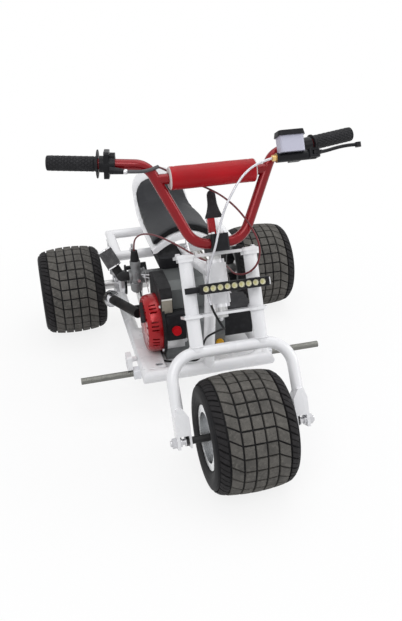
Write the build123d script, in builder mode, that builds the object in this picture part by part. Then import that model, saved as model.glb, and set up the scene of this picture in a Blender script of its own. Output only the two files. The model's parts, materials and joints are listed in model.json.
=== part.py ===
"""Mini tricycle: one steered front wheel, two driven rear wheels on a live axle.

Frame of the part: +Z up, -Y is the way it drives, +X is the rider's left.
The origin lies on the ground, midway between the wheels. All sizes are in millimetres.
"""
import os
from math import asin, cos, pi, radians, sin, tan

from build123d import *

os.makedirs("parts", exist_ok=True)

# ---------------------------------------------------------------- driving dimensions
wheelbase = 858.0
track = 632.0                 # between the centres of the rear tyres

tyre_radius = 140.0
tyre_width = 196.0
tyre_wall = 9.0
bead_radius = 63.5            # a five inch rim
rim_lip_radius = 76.0
rim_wall = 4.0
rim_width = 178.0

rake = 26.0                   # steering axis, degrees back from upright
fork_reach = 415.0            # top plate to front axle, along the steering axis
axle_offset = 58.0            # front axle ahead of the steering axis
tube_offset = 30.0            # fork tubes ahead of the steering axis
fork_tube_radius = 16.0
fork_tube_spacing = 156.0
arch_tube_radius = 14.0
arch_span = 292.0             # between the two legs
arch_drop = 222.0             # top plate to the arch, along the steering axis
arch_bend = 62.0
leg_lean = 28.0               # foot of each leg ahead of the fork tubes
plate_span = 200.0
plate_gap = 139.0             # between the two fork plates
top_plate_thickness = 7.0
lower_plate_thickness = 6.0
stem_radius = 14.0
head_tube_radius = 24.0
head_tube_length = 95.0
head_clearance = 2.0          # stem to head tube, round
head_gap = 22.0               # top plate to the head tube

bar_radius = 12.0
bar_width = 708.0
bar_reach = 57.0              # foot of the bar ahead of the steering axis
bar_foot_spread = 57.5        # half of the level foot between the risers
bar_foot_above = 23.0         # foot of the bar above the top plate
bar_rise = 188.0
bar_knee = 144.0              # half the distance between the upper bends
bar_lean = 18.0               # degrees, top of the bar back
bar_sweep = 11.0              # degrees, grips swept back
bar_climb = 7.0               # degrees, grips rising outwards
foot_bend = 58.0
knee_bend = 47.0
crossbar_height = 154.0       # above the foot of the bar
pad_length = 200.0
pad_radius = 26.5
grip_length = 112.0
grip_radius = 16.5
grip_flange_radius = 20.0
throttle_flange_radius = 31.0

rail_radius = 18.0
rail_half_spacing = 165.0
rail_height = 118.0
cross_y = -113.0
rail_bend = 60.0
backbone_radius = 16.0
down_tube_radius = 15.0
down_tube_top_y = -160.0
loop_radius = 14.0
loop_half_width = 177.0
loop_front_y = 264.0
loop_rear_y = 439.0
loop_height = 310.0

peg_y = -55.0
peg_height = 98.0
peg_end = 341.0
peg_radius = 9.0

plate_top = 122.0             # top of the engine plate
plate_thickness = 6.0
crank_height = 95.0           # crankshaft above the engine plate
crank_y = 0.0
recoil_radius = 80.0
recoil_face_x = -154.0
shroud_x = -112.0             # where recoil cover and fan shroud meet
crankcase_right_x = -103.7
cowl_right_x = -80.0           # inner face of the cooling cowl beside the cylinder
crankcase_left_x = 62.0
cylinder_tilt = 25.0          # degrees above level, towards the rear

axle_radius = 15.0
sprocket_x = 108.0
sprocket_teeth = 44
clutch_teeth = 10
chain_pitch = 12.7
disc_x = -100.0
disc_radius = 85.0

seat_half_width = 95.0
seat_front_y = 112.0
seat_edge_height = 375.0
seat_crown = 42.0
seat_back_y = 470.0
seat_back_top = 508.0
seat_pad_thickness = 22.0
shell_thickness = 5.0

cable_radius = 2.3
hose_radius = 2.75

gap = 0.3                     # running gap between pieces of different bodies
bearing_fit = 0.05            # shaft to bearing, round
weld = 0.1                    # left between a coped tube end and the tube it meets

# ---------------------------------------------------------------- derived places
front_y = -wheelbase / 2
rear_y = wheelbase / 2
rake_sin = sin(radians(rake))
rake_cos = cos(radians(rake))
head_y = front_y + axle_offset * rake_cos + fork_reach * rake_sin
head_z = tyre_radius - axle_offset * rake_sin + fork_reach * rake_cos
crank_z = plate_top + crank_height

# The steering frame: local z runs up the steering axis, local y back and down,
# and local z = 0 is the middle of the top plate.
steering = Plane(origin=(0, head_y, head_z), x_dir=(1, 0, 0), z_dir=(0, rake_sin, rake_cos))


def steer_point(x, y, z):
    """A place in the steering frame, in the frame of the part."""
    return steering.from_local_coords(Vector(x, y, z))


def save(piece, name):
    """Label a finished piece and write it to its own file."""
    piece.part.label = name
    export_step(piece.part, f"parts/{name}.step")


def across(x, y, z):
    """The plane square to X at a place, with its own x along -Y and its y up."""
    return Plane(origin=(x, y, z), x_dir=(0, -1, 0), z_dir=(-1, 0, 0))


def between(start, end):
    """The plane at the start of a straight run, square to it."""
    return Plane(origin=start, z_dir=(end - start).normalized())


# ---------------------------------------------------------------- wheels
tread_half = tyre_width * 0.39
shoulder_drop = 7.0
well_radius = 52.0
web_thickness = 6.0
web_hole_circle = 38.0
front_hub_radius = 22.0
front_hub_half = 46.0
front_axle_radius = 7.0
hub_radius = 26.0
hub_length = 72.0
hub_flange = 8.0
hub_flange_radius = 50.0
axle_stub = 34.0              # rear axle beyond the middle of each rear wheel


def tyre(x, y):
    """A wide low tyre: crowned tread, round shoulders, hollow inside, beads between the rim lips."""
    half = tyre_width / 2
    bead_x = rim_width / 2 - rim_wall - gap
    over_x = bead_x + 6
    foot = bead_radius + gap
    lip = rim_lip_radius + 1
    inner_x = tread_half - 4
    inner_r = tyre_radius - shoulder_drop - tyre_wall
    belly = tyre_radius * 0.74
    with BuildPart() as body:
        with BuildSketch(Plane(origin=(x, y, tyre_radius), x_dir=(1, 0, 0), z_dir=(0, -1, 0))):
            with BuildLine():
                ThreePointArc((-tread_half, tyre_radius - shoulder_drop), (0, tyre_radius),
                              (tread_half, tyre_radius - shoulder_drop))
                Spline((tread_half, tyre_radius - shoulder_drop), (half, belly), (over_x, lip + 3),
                       tangents=[(1, -0.25), (-0.55, -1)])
                Polyline((over_x, lip + 3), (bead_x, lip), (bead_x, foot), (bead_x - tyre_wall, foot))
                Spline((bead_x - tyre_wall, foot), (half - tyre_wall, belly), (inner_x, inner_r),
                       tangents=[(0.5, 1), (-1, 0.3)])
                Line((inner_x, inner_r), (-inner_x, inner_r))
                Spline((-inner_x, inner_r), (tyre_wall - half, belly), (tyre_wall - bead_x, foot),
                       tangents=[(-1, -0.3), (0.5, -1)])
                Polyline((tyre_wall - bead_x, foot), (-bead_x, foot), (-bead_x, lip), (-over_x, lip + 3))
                Spline((-over_x, lip + 3), (-half, belly), (-tread_half, tyre_radius - shoulder_drop),
                       tangents=[(-0.55, 1), (1, 0.25)])
            make_face()
        revolve(axis=Axis((x, y, tyre_radius), (1, 0, 0)))
    return body


def rim(x, y, bore, web_holes, hole_radius, hub_half):
    """A two-lipped rim with drop centre, a drilled web and, where hub_half is set, a hub."""
    half = rim_width / 2
    seat = bead_radius
    with BuildPart() as body:
        with BuildSketch(Plane(origin=(x, y, tyre_radius), x_dir=(1, 0, 0), z_dir=(0, -1, 0))):
            with BuildLine():
                Polyline(
                    (-half, rim_lip_radius), (-half + rim_wall, rim_lip_radius),
                    (-half + rim_wall, seat), (-half + 40, seat), (-half + 52, well_radius + rim_wall),
                    (half - 52, well_radius + rim_wall), (half - 40, seat), (half - rim_wall, seat),
                    (half - rim_wall, rim_lip_radius), (half, rim_lip_radius),
                    (half, seat - rim_wall), (half - 42, seat - rim_wall), (half - 54, well_radius),
                    (-half + 54, well_radius), (-half + 42, seat - rim_wall), (-half, seat - rim_wall),
                    close=True)
            make_face()
        revolve(axis=Axis((x, y, tyre_radius), (1, 0, 0)))
        with BuildSketch(across(x + web_thickness / 2, y, tyre_radius)):
            Circle(well_radius + 1)
            with PolarLocations(web_hole_circle, web_holes, start_angle=36):
                Circle(hole_radius, mode=Mode.SUBTRACT)
        extrude(amount=web_thickness)
        if hub_half:
            with BuildSketch(across(x + hub_half, y, tyre_radius)):
                Circle(front_hub_radius)
            extrude(amount=2 * hub_half)
        with BuildSketch(across(x + half, y, tyre_radius)):
            Circle(bore)
        extrude(amount=rim_width, mode=Mode.SUBTRACT)
    return body


save(tyre(0, front_y), "front_tyre")
save(tyre(-track / 2, rear_y), "rear_tyre_right")
save(tyre(track / 2, rear_y), "rear_tyre_left")

save(rim(0, front_y, front_axle_radius + bearing_fit, 6, 8, front_hub_half), "front_rim")
save(rim(-track / 2, rear_y, axle_radius, 5, 7, 0), "rear_rim_right")
save(rim(track / 2, rear_y, axle_radius, 5, 7, 0), "rear_rim_left")

with BuildPart() as rear_axle:
    with BuildSketch(across(track / 2 + axle_stub, rear_y, tyre_radius)):
        Circle(axle_radius)
    extrude(amount=track + 2 * axle_stub)
    for side in (-1, 1):
        flange_x = side * (track / 2 - web_thickness / 2)
        with BuildSketch(across(flange_x, rear_y, tyre_radius)):
            Circle(hub_flange_radius)
        extrude(amount=hub_flange * side)
        with BuildSketch(across(flange_x - side * hub_flange, rear_y, tyre_radius)):
            Circle(hub_radius)
        extrude(amount=(hub_length - hub_flange) * side)
save(rear_axle, "rear_axle_shaft")

# ---------------------------------------------------------------- rear sprocket and brake disc


def toothed_disc(x, teeth, thickness, bore, lightening):
    """A chain sprocket: round blank with one rounded gap for each chain roller."""
    pitch_radius = chain_pitch / (2 * sin(pi / teeth))
    with BuildPart() as body:
        with BuildSketch(across(x + thickness / 2, rear_y, tyre_radius)):
            Circle(pitch_radius + tooth_height)
            Circle(bore, mode=Mode.SUBTRACT)
            with PolarLocations(pitch_radius, teeth):
                Circle(roller_radius, mode=Mode.SUBTRACT)
            if lightening:
                with PolarLocations(pitch_radius * 0.62, lightening):
                    Circle(pitch_radius * 0.17, mode=Mode.SUBTRACT)
        extrude(amount=thickness)
        with BuildSketch(across(x - thickness / 2, rear_y, tyre_radius)):
            Circle(hub_radius)
            Circle(bore, mode=Mode.SUBTRACT)
        extrude(amount=boss_length)
    return body


roller_radius = 4.0
tooth_height = 3.0
sprocket_thickness = 4.0
boss_length = 28.0
carrier_length = 36.0
save(toothed_disc(sprocket_x, sprocket_teeth, sprocket_thickness, axle_radius, 6), "rear_sprocket")

with BuildPart() as brake_disc:
    with BuildSketch(across(disc_x + 2, rear_y, tyre_radius)):
        Circle(disc_radius)
        Circle(axle_radius, mode=Mode.SUBTRACT)
        with PolarLocations(disc_radius * 0.78, 12):
            Circle(4, mode=Mode.SUBTRACT)
        with PolarLocations(disc_radius * 0.48, 5):
            Circle(11, mode=Mode.SUBTRACT)
    extrude(amount=4)
    with BuildSketch(across(disc_x - 2, rear_y, tyre_radius)):
        Circle(hub_radius)
        Circle(axle_radius, mode=Mode.SUBTRACT)
    extrude(amount=-carrier_length)
save(brake_disc, "brake_disc")

# ---------------------------------------------------------------- steering: plates, stem, fork
plate_half = plate_span / 2
clamp_block = 15.0


def fork_plate(z, thickness, waist):
    """A flat fork plate, wide round the two tubes and narrower between them."""
    with BuildPart() as body:
        with BuildSketch(steering.offset(z - thickness / 2)):
            with Locations((0, -tube_offset / 2)):
                RectangleRounded(plate_span, waist, 8)
            for s in (-1, 1):
                with Locations((s * fork_tube_spacing / 2, -tube_offset)):
                    RectangleRounded(plate_span - fork_tube_spacing, fork_tube_radius * 2 + 12, 9)
            Circle(stem_radius, mode=Mode.SUBTRACT)
            for s in (-1, 1):
                with Locations((s * fork_tube_spacing / 2, -tube_offset)):
                    Circle(fork_tube_radius, mode=Mode.SUBTRACT)
        extrude(amount=thickness)
    return body


with BuildPart() as top_plate:
    add(fork_plate(0, top_plate_thickness, 52).part)
    for s in (-1, 1):
        with BuildSketch(steering.offset(-top_plate_thickness / 2)):
            with Locations((s * fork_tube_spacing / 2, -tube_offset)):
                RectangleRounded(plate_span - fork_tube_spacing - 6, fork_tube_radius * 2 + 8, 8)
                Circle(fork_tube_radius, mode=Mode.SUBTRACT)
        extrude(amount=-(clamp_block - top_plate_thickness))
save(top_plate, "top_plate")
save(fork_plate(-plate_gap, lower_plate_thickness, 52), "lower_plate")

stem_top = 24.0
with BuildPart() as stem:
    with BuildSketch(steering.offset(-plate_gap - 12)):
        Circle(stem_radius)
    extrude(amount=plate_gap + 12 + stem_top)
save(stem, "steering_stem")

# The fork: two tubes into one arch, whose legs run down to a forked foot on each side of the wheel.
tube_x = fork_tube_spacing / 2
leg_x = arch_span / 2
tube_top = 6.0
foot_outer = leg_x + 13.0
foot_inner = leg_x - 21.0
foot_top = 78.0               # above the axle
foot_shoulder = 56.0
foot_bottom = 14.0            # below the axle
foot_depth = 36.0
outer_lug = 7.0
inner_lug = 5.0
lug_slot = 15.0               # top of the slot between the lugs, above the axle
leg_foot = fork_reach - foot_shoulder

with BuildPart() as fork:
    with BuildLine(steering):
        FilletPolyline((-leg_x, -tube_offset - leg_lean, -fork_reach), (-leg_x, -tube_offset, -arch_drop),
                       (leg_x, -tube_offset, -arch_drop), (leg_x, -tube_offset - leg_lean, -fork_reach),
                       radius=arch_bend)
    with BuildSketch(Plane(origin=steer_point(-leg_x, -tube_offset - leg_lean, -fork_reach), x_dir=(1, 0, 0),
                           z_dir=steer_point(0, leg_lean, fork_reach - arch_drop) - steer_point(0, 0, 0))):
        Circle(arch_tube_radius)
    sweep()
    with BuildSketch(steering.offset(-fork_reach - 40)):
        Rectangle(2 * arch_span, 2 * arch_span)
    extrude(amount=fork_reach + 40 - leg_foot, mode=Mode.SUBTRACT)
    for s in (-1, 1):
        with BuildSketch(steering.offset(-arch_drop + 3)):
            with Locations((s * tube_x, -tube_offset)):
                Circle(fork_tube_radius)
        extrude(amount=arch_drop - 3 + tube_top)
        with BuildSketch(Plane(origin=steer_point(0, -axle_offset + foot_depth / 2 + 2, -fork_reach),
                               x_dir=(1, 0, 0), z_dir=(0, -rake_cos, rake_sin))):
            with BuildLine():
                Polyline((s * foot_outer, -foot_bottom), (s * foot_outer, foot_shoulder),
                         (s * (leg_x + 6), foot_top), (s * (leg_x - 8), foot_top),
                         (s * foot_inner, foot_shoulder), (s * foot_inner, -foot_bottom),
                         (s * (foot_inner + inner_lug), -foot_bottom), (s * (foot_inner + inner_lug), lug_slot),
                         (s * (foot_outer - outer_lug), lug_slot), (s * (foot_outer - outer_lug), -foot_bottom),
                         close=True)
            make_face()
        extrude(amount=foot_depth)
    with BuildSketch(across(arch_span, front_y, tyre_radius)):
        Circle(front_axle_radius)
    extrude(amount=2 * arch_span, mode=Mode.SUBTRACT)
save(fork, "front_fork")

axle_half = foot_outer + 14.0
spacer_radius = 8.5
spacer_inner = front_hub_half + gap
nut_thickness = 10.0
with BuildPart() as front_axle:
    with BuildSketch(across(axle_half, front_y, tyre_radius)):
        Circle(front_axle_radius)
    extrude(amount=2 * axle_half)
    for s in (-1, 1):
        with BuildSketch(across(s * spacer_inner, front_y, tyre_radius)):
            Circle(spacer_radius)
        extrude(amount=-s * (foot_inner - spacer_inner))
        with BuildSketch(across(s * (foot_inner + inner_lug), front_y, tyre_radius)):
            RegularPolygon(11, 6)
        extrude(amount=-s * nut_thickness)
        with BuildSketch(across(s * (foot_outer - outer_lug), front_y, tyre_radius)):
            Circle(11)
        extrude(amount=s * 5)
        with BuildSketch(across(s * foot_outer, front_y, tyre_radius)):
            RegularPolygon(12, 6)
        extrude(amount=-s * nut_thickness)
save(front_axle, "front_axle")

# ---------------------------------------------------------------- handlebar and controls
bar_z = bar_foot_above
bar_foot = steer_point(0, -bar_reach, bar_z)
bar_plane = Plane(origin=bar_foot, x_dir=(1, 0, 0), z_dir=(0, -cos(radians(bar_lean)), sin(radians(bar_lean))))
grip_run = bar_width / 2 - bar_knee
bar_tip = Vector(bar_width / 2, bar_rise + grip_run * tan(radians(bar_climb)),
                 -grip_run * tan(radians(bar_sweep)))
knee = Vector(bar_knee, bar_rise, 0)


def bar_point(distance):
    """A place on the left grip run, at a distance in from its end, in the bar's plane."""
    run = (knee - bar_tip).normalized()
    return bar_tip + run * distance


def along_bar(side, distance):
    """The plane square to a grip run, at a distance in from the bar's end."""
    inner = bar_point(distance)
    outer = bar_point(distance - 1)
    here = bar_plane.from_local_coords(Vector(side * inner.X, inner.Y, inner.Z))
    there = bar_plane.from_local_coords(Vector(side * outer.X, outer.Y, outer.Z))
    inward = (here - there).normalized()
    return Plane(origin=here, x_dir=(0, 0, 1), z_dir=inward)


with BuildPart() as handlebar:
    with BuildLine(bar_plane):
        bar_route = FilletPolyline(
            (-bar_tip.X, bar_tip.Y, bar_tip.Z), (-knee.X, knee.Y, 0), (-bar_foot_spread, 0, 0),
            (bar_foot_spread, 0, 0), (knee.X, knee.Y, 0), (bar_tip.X, bar_tip.Y, bar_tip.Z),
            radius=[knee_bend, foot_bend, foot_bend, knee_bend])
    with BuildSketch(along_bar(-1, 0)):
        Circle(bar_radius)
    sweep()
    cross_half = bar_foot_spread + (bar_knee - bar_foot_spread) * crossbar_height / bar_rise
    crossbar_at = bar_plane.from_local_coords(Vector(0, crossbar_height, 0))
    with BuildSketch(across(cross_half, crossbar_at.Y, crossbar_at.Z)):
        Circle(bar_radius)
    extrude(amount=2 * cross_half)
save(handlebar, "handlebar")

with BuildPart() as bar_pad:
    with BuildSketch(across(pad_length / 2, crossbar_at.Y, crossbar_at.Z)):
        Circle(pad_radius)
        Circle(bar_radius, mode=Mode.SUBTRACT)
    extrude(amount=pad_length)
save(bar_pad, "bar_pad")

for side, name, flange in ((-1, "grip_right", throttle_flange_radius), (1, "grip_left", grip_flange_radius)):
    with BuildPart() as grip:
        with BuildSketch(along_bar(side, -3)):
            Circle(grip_radius)
        extrude(amount=grip_length)
        with BuildSketch(along_bar(side, grip_length - 3)):
            Circle(flange)
        extrude(amount=3)
        with BuildSketch(along_bar(side, 0)):
            Circle(bar_radius)
        extrude(amount=grip_length + 4, mode=Mode.SUBTRACT)
    save(grip, name)

# Twist throttle: tube flange plate, barrel, stop button, and a guide that leads the cable inboard.
housing_at = grip_length + 0.2
guide_start = Vector(-226, -82, 206)
guide_end = Vector(-198, -90, 199)
with BuildPart() as throttle_housing:
    with BuildSketch(along_bar(-1, housing_at)):
        Circle(18)
    extrude(amount=34)
    with BuildSketch(along_bar(-1, housing_at + 10)):
        RectangleRounded(60, 34, 6)
    extrude(amount=11)
    with BuildSketch(along_bar(-1, housing_at + 22)):
        with Locations((18, 0)):
            Circle(8)
    extrude(amount=12)
    with BuildSketch(between(steer_point(*guide_start), steer_point(*guide_end))):
        Circle(9)
    extrude(amount=(guide_end - guide_start).length, taper=6)
    with BuildSketch(along_bar(-1, housing_at - 1)):
        Circle(bar_radius)
    extrude(amount=40, mode=Mode.SUBTRACT)
save(throttle_housing, "throttle_housing")

# Brake master cylinder: clamp on the bar, barrel ahead of it, fluid reservoir with its lid above.
barrel_y = -112.0
barrel_z = 192.0
barrel_left = 236.0
barrel_right = 142.0
reservoir_depth = 36.0
with BuildPart() as master_cylinder:
    with BuildSketch(along_bar(1, grip_length + 22)):
        Circle(17)
    extrude(amount=24)
    with BuildSketch(Plane(origin=steer_point(barrel_left, barrel_y, barrel_z), x_dir=(0, -rake_cos, rake_sin),
                           z_dir=(-1, 0, 0))):
        Circle(11)
    extrude(amount=barrel_left - barrel_right)
    with BuildSketch(steering.offset(barrel_z - 8)):
        with Locations((196, barrel_y + 20)):
            Rectangle(26, 40)
        with Locations((barrel_left - 6, barrel_y - 2)):
            RectangleRounded(26, 26, 5)
    extrude(amount=20)
    with BuildSketch(steering.offset(barrel_z + 8)):
        with Locations((178, barrel_y - 4)):
            RectangleRounded(57, reservoir_depth, 7)
    extrude(amount=36)
    with BuildSketch(steering.offset(barrel_z + 44)):
        with Locations((178, barrel_y - 4)):
            RectangleRounded(64, reservoir_depth + 8, 10)
    extrude(amount=12, taper=12)
    with BuildSketch(Plane(origin=steer_point(barrel_right, barrel_y, barrel_z), x_dir=(0, -rake_cos, rake_sin),
                           z_dir=(-1, 0, 0))):
        Circle(7)
    extrude(amount=9)
    with BuildSketch(along_bar(1, grip_length + 10)):
        Circle(bar_radius)
    extrude(amount=60, mode=Mode.SUBTRACT)
    with BuildSketch(steering.offset(barrel_z - 2)):
        with Locations((barrel_left + 3, barrel_y - 6)):
            Rectangle(30, 34)
    extrude(amount=9, mode=Mode.SUBTRACT)
save(master_cylinder, "master_cylinder")

lever_route = [(236, -118, 194.5), (264, -113, 197), (291, -108, 202), (318, -105, 205), (346, -104, 205)]
with BuildPart() as brake_lever:
    with BuildLine(steering):
        Spline(*lever_route)
    with BuildSketch(Plane(origin=steer_point(*lever_route[0]),
                           z_dir=steer_point(*lever_route[1]) - steer_point(*lever_route[0]))):
        Circle(4)
    sweep()
    with BuildSketch(steering.offset(lever_route[-1][2])):
        with Locations((lever_route[-1][0], lever_route[-1][1])):
            Circle(7)
    extrude(amount=5.5, both=True)
    with BuildSketch(steering.offset(barrel_z - 1.5)):
        with Locations((barrel_left + 2, barrel_y - 6)):
            RectangleRounded(23, 18, 6)
    extrude(amount=8)
save(brake_lever, "brake_lever")

clamp_width = 42.0
clamp_back = 16.0
with BuildPart() as clamp:
    clamp_z = top_plate_thickness / 2
    clamp_front = bar_reach + bar_radius + 8
    with BuildSketch(steering.offset(clamp_z)):
        with Locations((0, (clamp_back - clamp_front) / 2)):
            RectangleRounded(clamp_width, clamp_back + clamp_front, 6)
    extrude(amount=bar_z - clamp_z + bar_radius + 8)
    with BuildSketch(across(clamp_width / 2 + 1, bar_foot.Y, bar_foot.Z)):
        Circle(bar_radius)
    extrude(amount=clamp_width + 2, mode=Mode.SUBTRACT)
    with BuildSketch(steering.offset(clamp_z)):
        Circle(stem_radius)
    extrude(amount=stem_top - clamp_z, mode=Mode.SUBTRACT)
save(clamp, "handlebar_clamp")

# ---------------------------------------------------------------- light bar
light_x = 20.0
light_half = 82.0
light_down = 78.0
light_forward = 26.0
with BuildPart() as light_bar:
    with BuildSketch(Plane(origin=steer_point(light_x, -tube_offset - light_forward, -light_down),
                           x_dir=(1, 0, 0), z_dir=(0, -rake_cos, rake_sin))):
        RectangleRounded(2 * light_half, 23, 4)
    extrude(amount=22)
    light_back = Plane(origin=steer_point(0, -tube_offset - light_forward, -light_down),
                       x_dir=(1, 0, 0), z_dir=(0, rake_cos, -rake_sin))
    with BuildSketch(light_back):
        with Locations((7, 0)):
            RectangleRounded(200, 14, 3)
    extrude(amount=3)
    for side in (-1, 1):
        with BuildSketch(light_back.offset(3)):
            with Locations((side * tube_x, 0)):
                Rectangle(14, 14)
        extrude(amount=light_forward - fork_tube_radius - 3 - weld)
save(light_bar, "light_bar")

# ---------------------------------------------------------------- main frame
rail_end_y = rear_y - 62.0

with BuildPart() as lower_frame:
    with BuildLine(Plane.XY.offset(rail_height)):
        FilletPolyline((-rail_half_spacing, rail_end_y), (-rail_half_spacing, cross_y),
                       (rail_half_spacing, cross_y), (rail_half_spacing, rail_end_y), radius=rail_bend)
    with BuildSketch(Plane(origin=(-rail_half_spacing, rail_end_y, rail_height),
                           x_dir=(1, 0, 0), z_dir=(0, -1, 0))):
        Circle(rail_radius)
    sweep()
save(lower_frame, "lower_frame")

with BuildPart() as head_tube:
    with BuildSketch(steering.offset(-head_gap - head_tube_length)):
        Circle(head_tube_radius)
        Circle(stem_radius + head_clearance, mode=Mode.SUBTRACT)
    extrude(amount=head_tube_length)
save(head_tube, "head_tube")

bearing_cup = 9.0
with BuildPart() as head_bearings:
    for low in (-head_gap, -head_gap - head_tube_length - bearing_cup):
        with BuildSketch(steering.offset(low)):
            Circle(head_tube_radius - 3)
            Circle(stem_radius + bearing_fit, mode=Mode.SUBTRACT)
        extrude(amount=bearing_cup)
save(head_bearings, "head_bearings")


back_start = steer_point(0, 0, -head_gap - 30)
back_end = Vector(0, loop_front_y, loop_height)
back_run = (back_end - back_start).normalized()


def backbone_at(y):
    """The place on the backbone's axis at a given y."""
    return back_start + back_run * ((y - back_start.Y) / back_run.Y)


with BuildPart() as backbone:
    with BuildSketch(between(back_start, back_end)):
        Circle(backbone_radius)
    extrude(amount=(back_end - back_start).length)
    with BuildSketch(steering.offset(-head_gap - head_tube_length)):
        Circle(head_tube_radius + weld)
    extrude(amount=head_tube_length, mode=Mode.SUBTRACT)
    with BuildSketch(across(loop_half_width, loop_front_y, loop_height)):
        Circle(loop_radius + weld)
    extrude(amount=2 * loop_half_width, mode=Mode.SUBTRACT)
save(backbone, "backbone")

# The down tube, with the gusset plate that stiffens its joint with the backbone.
down_start = backbone_at(down_tube_top_y)
down_end = Vector(0, cross_y, rail_height)
down_run = (down_end - down_start).normalized()
gusset_back = 95.0
gusset_down = 90.0
gusset_thickness = 6.0
with BuildPart() as down_tube:
    with BuildSketch(between(down_start, down_end)):
        Circle(down_tube_radius)
    extrude(amount=(down_end - down_start).length)
    with BuildSketch(Plane.YZ.offset(-gusset_thickness / 2)):
        with BuildLine():
            gusset_rear = down_start + back_run * gusset_back
            gusset_foot = down_start + down_run * gusset_down
            Polyline((down_start.Y, down_start.Z), (gusset_rear.Y, gusset_rear.Z),
                     (gusset_foot.Y, gusset_foot.Z), close=True)
        make_face()
    extrude(amount=gusset_thickness)
    with BuildSketch(between(back_start, back_end)):
        Circle(backbone_radius + weld)
    extrude(amount=(back_end - back_start).length, mode=Mode.SUBTRACT)
    with BuildSketch(across(rail_half_spacing, cross_y, rail_height)):
        Circle(rail_radius + weld)
    extrude(amount=2 * rail_half_spacing, mode=Mode.SUBTRACT)
save(down_tube, "down_tube")

with BuildPart() as rear_loop:
    with BuildLine(Plane.XY.offset(loop_height)):
        Polyline((0, loop_front_y), (-loop_half_width, loop_front_y), (-loop_half_width, loop_rear_y),
                 (loop_half_width, loop_rear_y), (loop_half_width, loop_front_y), close=True)
    with BuildSketch(Plane(origin=(0, loop_front_y, loop_height), x_dir=(0, 1, 0), z_dir=(-1, 0, 0))):
        Circle(loop_radius)
    sweep(transition=Transition.RIGHT)
save(rear_loop, "rear_loop")

# Uprights: a plate on each rail's end holds the axle bearing, and a post on it carries the loop.
carrier_thickness = 8.0
bearing_radius = 31.0
housing_radius = 44.0
post_radius = 12.0
post_foot = tyre_radius + 38
for side, name in ((-1, "rear_upright_right"), (1, "rear_upright_left")):
    with BuildPart() as upright:
        with BuildSketch(across(side * rail_half_spacing + carrier_thickness / 2, rear_y, tyre_radius)):
            with BuildLine():
                Polyline((61.9, -42), (61.9, -2), (24, 66), (-24, 66), (-48, 20), (-48, -24), (-20, -46),
                         close=True)
            make_face()
            Circle(bearing_radius + bearing_fit, mode=Mode.SUBTRACT)
        extrude(amount=carrier_thickness)
        with BuildSketch(Plane.XY.offset(post_foot)):
            with Locations((side * loop_half_width, rear_y)):
                Circle(post_radius)
        extrude(amount=loop_height - 2 - post_foot)
        with BuildSketch(across(side * rail_half_spacing + carrier_thickness / 2, rear_y, tyre_radius)):
            with Locations((0, post_foot - tyre_radius + 14)):
                Rectangle(16, 28)
        extrude(amount=-(loop_half_width - rail_half_spacing) * side)
        with BuildSketch(Plane.XZ.offset(-loop_rear_y - 30)):
            with Locations((side * loop_half_width, loop_height)):
                Circle(loop_radius + weld)
        extrude(amount=90, mode=Mode.SUBTRACT)
        with BuildSketch(across(loop_half_width + 30, loop_rear_y, loop_height)):
            Circle(loop_radius + weld)
        extrude(amount=2 * loop_half_width + 60, mode=Mode.SUBTRACT)
    save(upright, name)

with BuildPart() as axle_bearings:
    for side in (-1, 1):
        inner = side * (rail_half_spacing - 25)
        face = side * (rail_half_spacing - carrier_thickness / 2 - weld)
        with BuildSketch(across(inner, rear_y, tyre_radius)):
            Circle(bearing_radius)
            Circle(axle_radius + bearing_fit, mode=Mode.SUBTRACT)
        extrude(amount=-40 * side)
        with BuildSketch(across(face, rear_y, tyre_radius)):
            RegularPolygon(housing_radius, 8)
            Circle(axle_radius + bearing_fit, mode=Mode.SUBTRACT)
        extrude(amount=10 * side)
save(axle_bearings, "axle_bearings")

# ---------------------------------------------------------------- engine plate and pegs
plate_front = cross_y + rail_radius + 0.2
plate_rear = 115.0
with BuildPart() as engine_plate:
    with BuildSketch(Plane.XY.offset(plate_top - plate_thickness)):
        with Locations((0, (plate_front + plate_rear) / 2)):
            RectangleRounded(2 * (rail_half_spacing - rail_radius) - 0.4, plate_rear - plate_front,
                             rail_bend - rail_radius)
        with Locations((0, plate_rear - 30)):
            Rectangle(2 * (rail_half_spacing - rail_radius) - 0.4, 60)
    extrude(amount=plate_thickness)
save(engine_plate, "engine_plate")

for side, name in ((-1, "foot_peg_right"), (1, "foot_peg_left")):
    with BuildPart() as peg:
        with BuildSketch(across(side * peg_end, peg_y, peg_height)):
            Circle(peg_radius)
        extrude(amount=side * (peg_end - rail_half_spacing))
        with BuildSketch(across(side * (rail_half_spacing + rail_radius + 15), peg_y, peg_height)):
            RectangleRounded(28, 28, 4)
        extrude(amount=side * (rail_radius + 15))
        with BuildSketch(Plane.XZ.offset(-peg_y - 60)):
            with Locations((side * rail_half_spacing, rail_height)):
                Circle(rail_radius + weld)
        extrude(amount=120, mode=Mode.SUBTRACT)
        with BuildSketch(across(side * (rail_half_spacing + rail_radius - 4), peg_y, peg_height)):
            Rectangle(60, 60)
        extrude(amount=side * 60, mode=Mode.SUBTRACT)
    save(peg, name)

# ---------------------------------------------------------------- engine
crankcase_depth = 124.0
crankcase_height = 124.0
with BuildPart() as crankcase:
    with BuildSketch(across(crankcase_left_x, crank_y, plate_top)):
        with Locations((0, crankcase_height / 2)):
            RectangleRounded(crankcase_depth, crankcase_height, 20)
    extrude(amount=crankcase_left_x - crankcase_right_x)
    with BuildSketch(across(sprocket_x + 16, crank_y, crank_z)):
        Circle(9)
    extrude(amount=sprocket_x + 16 - crankcase_left_x)
save(crankcase, "crankcase")

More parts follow.
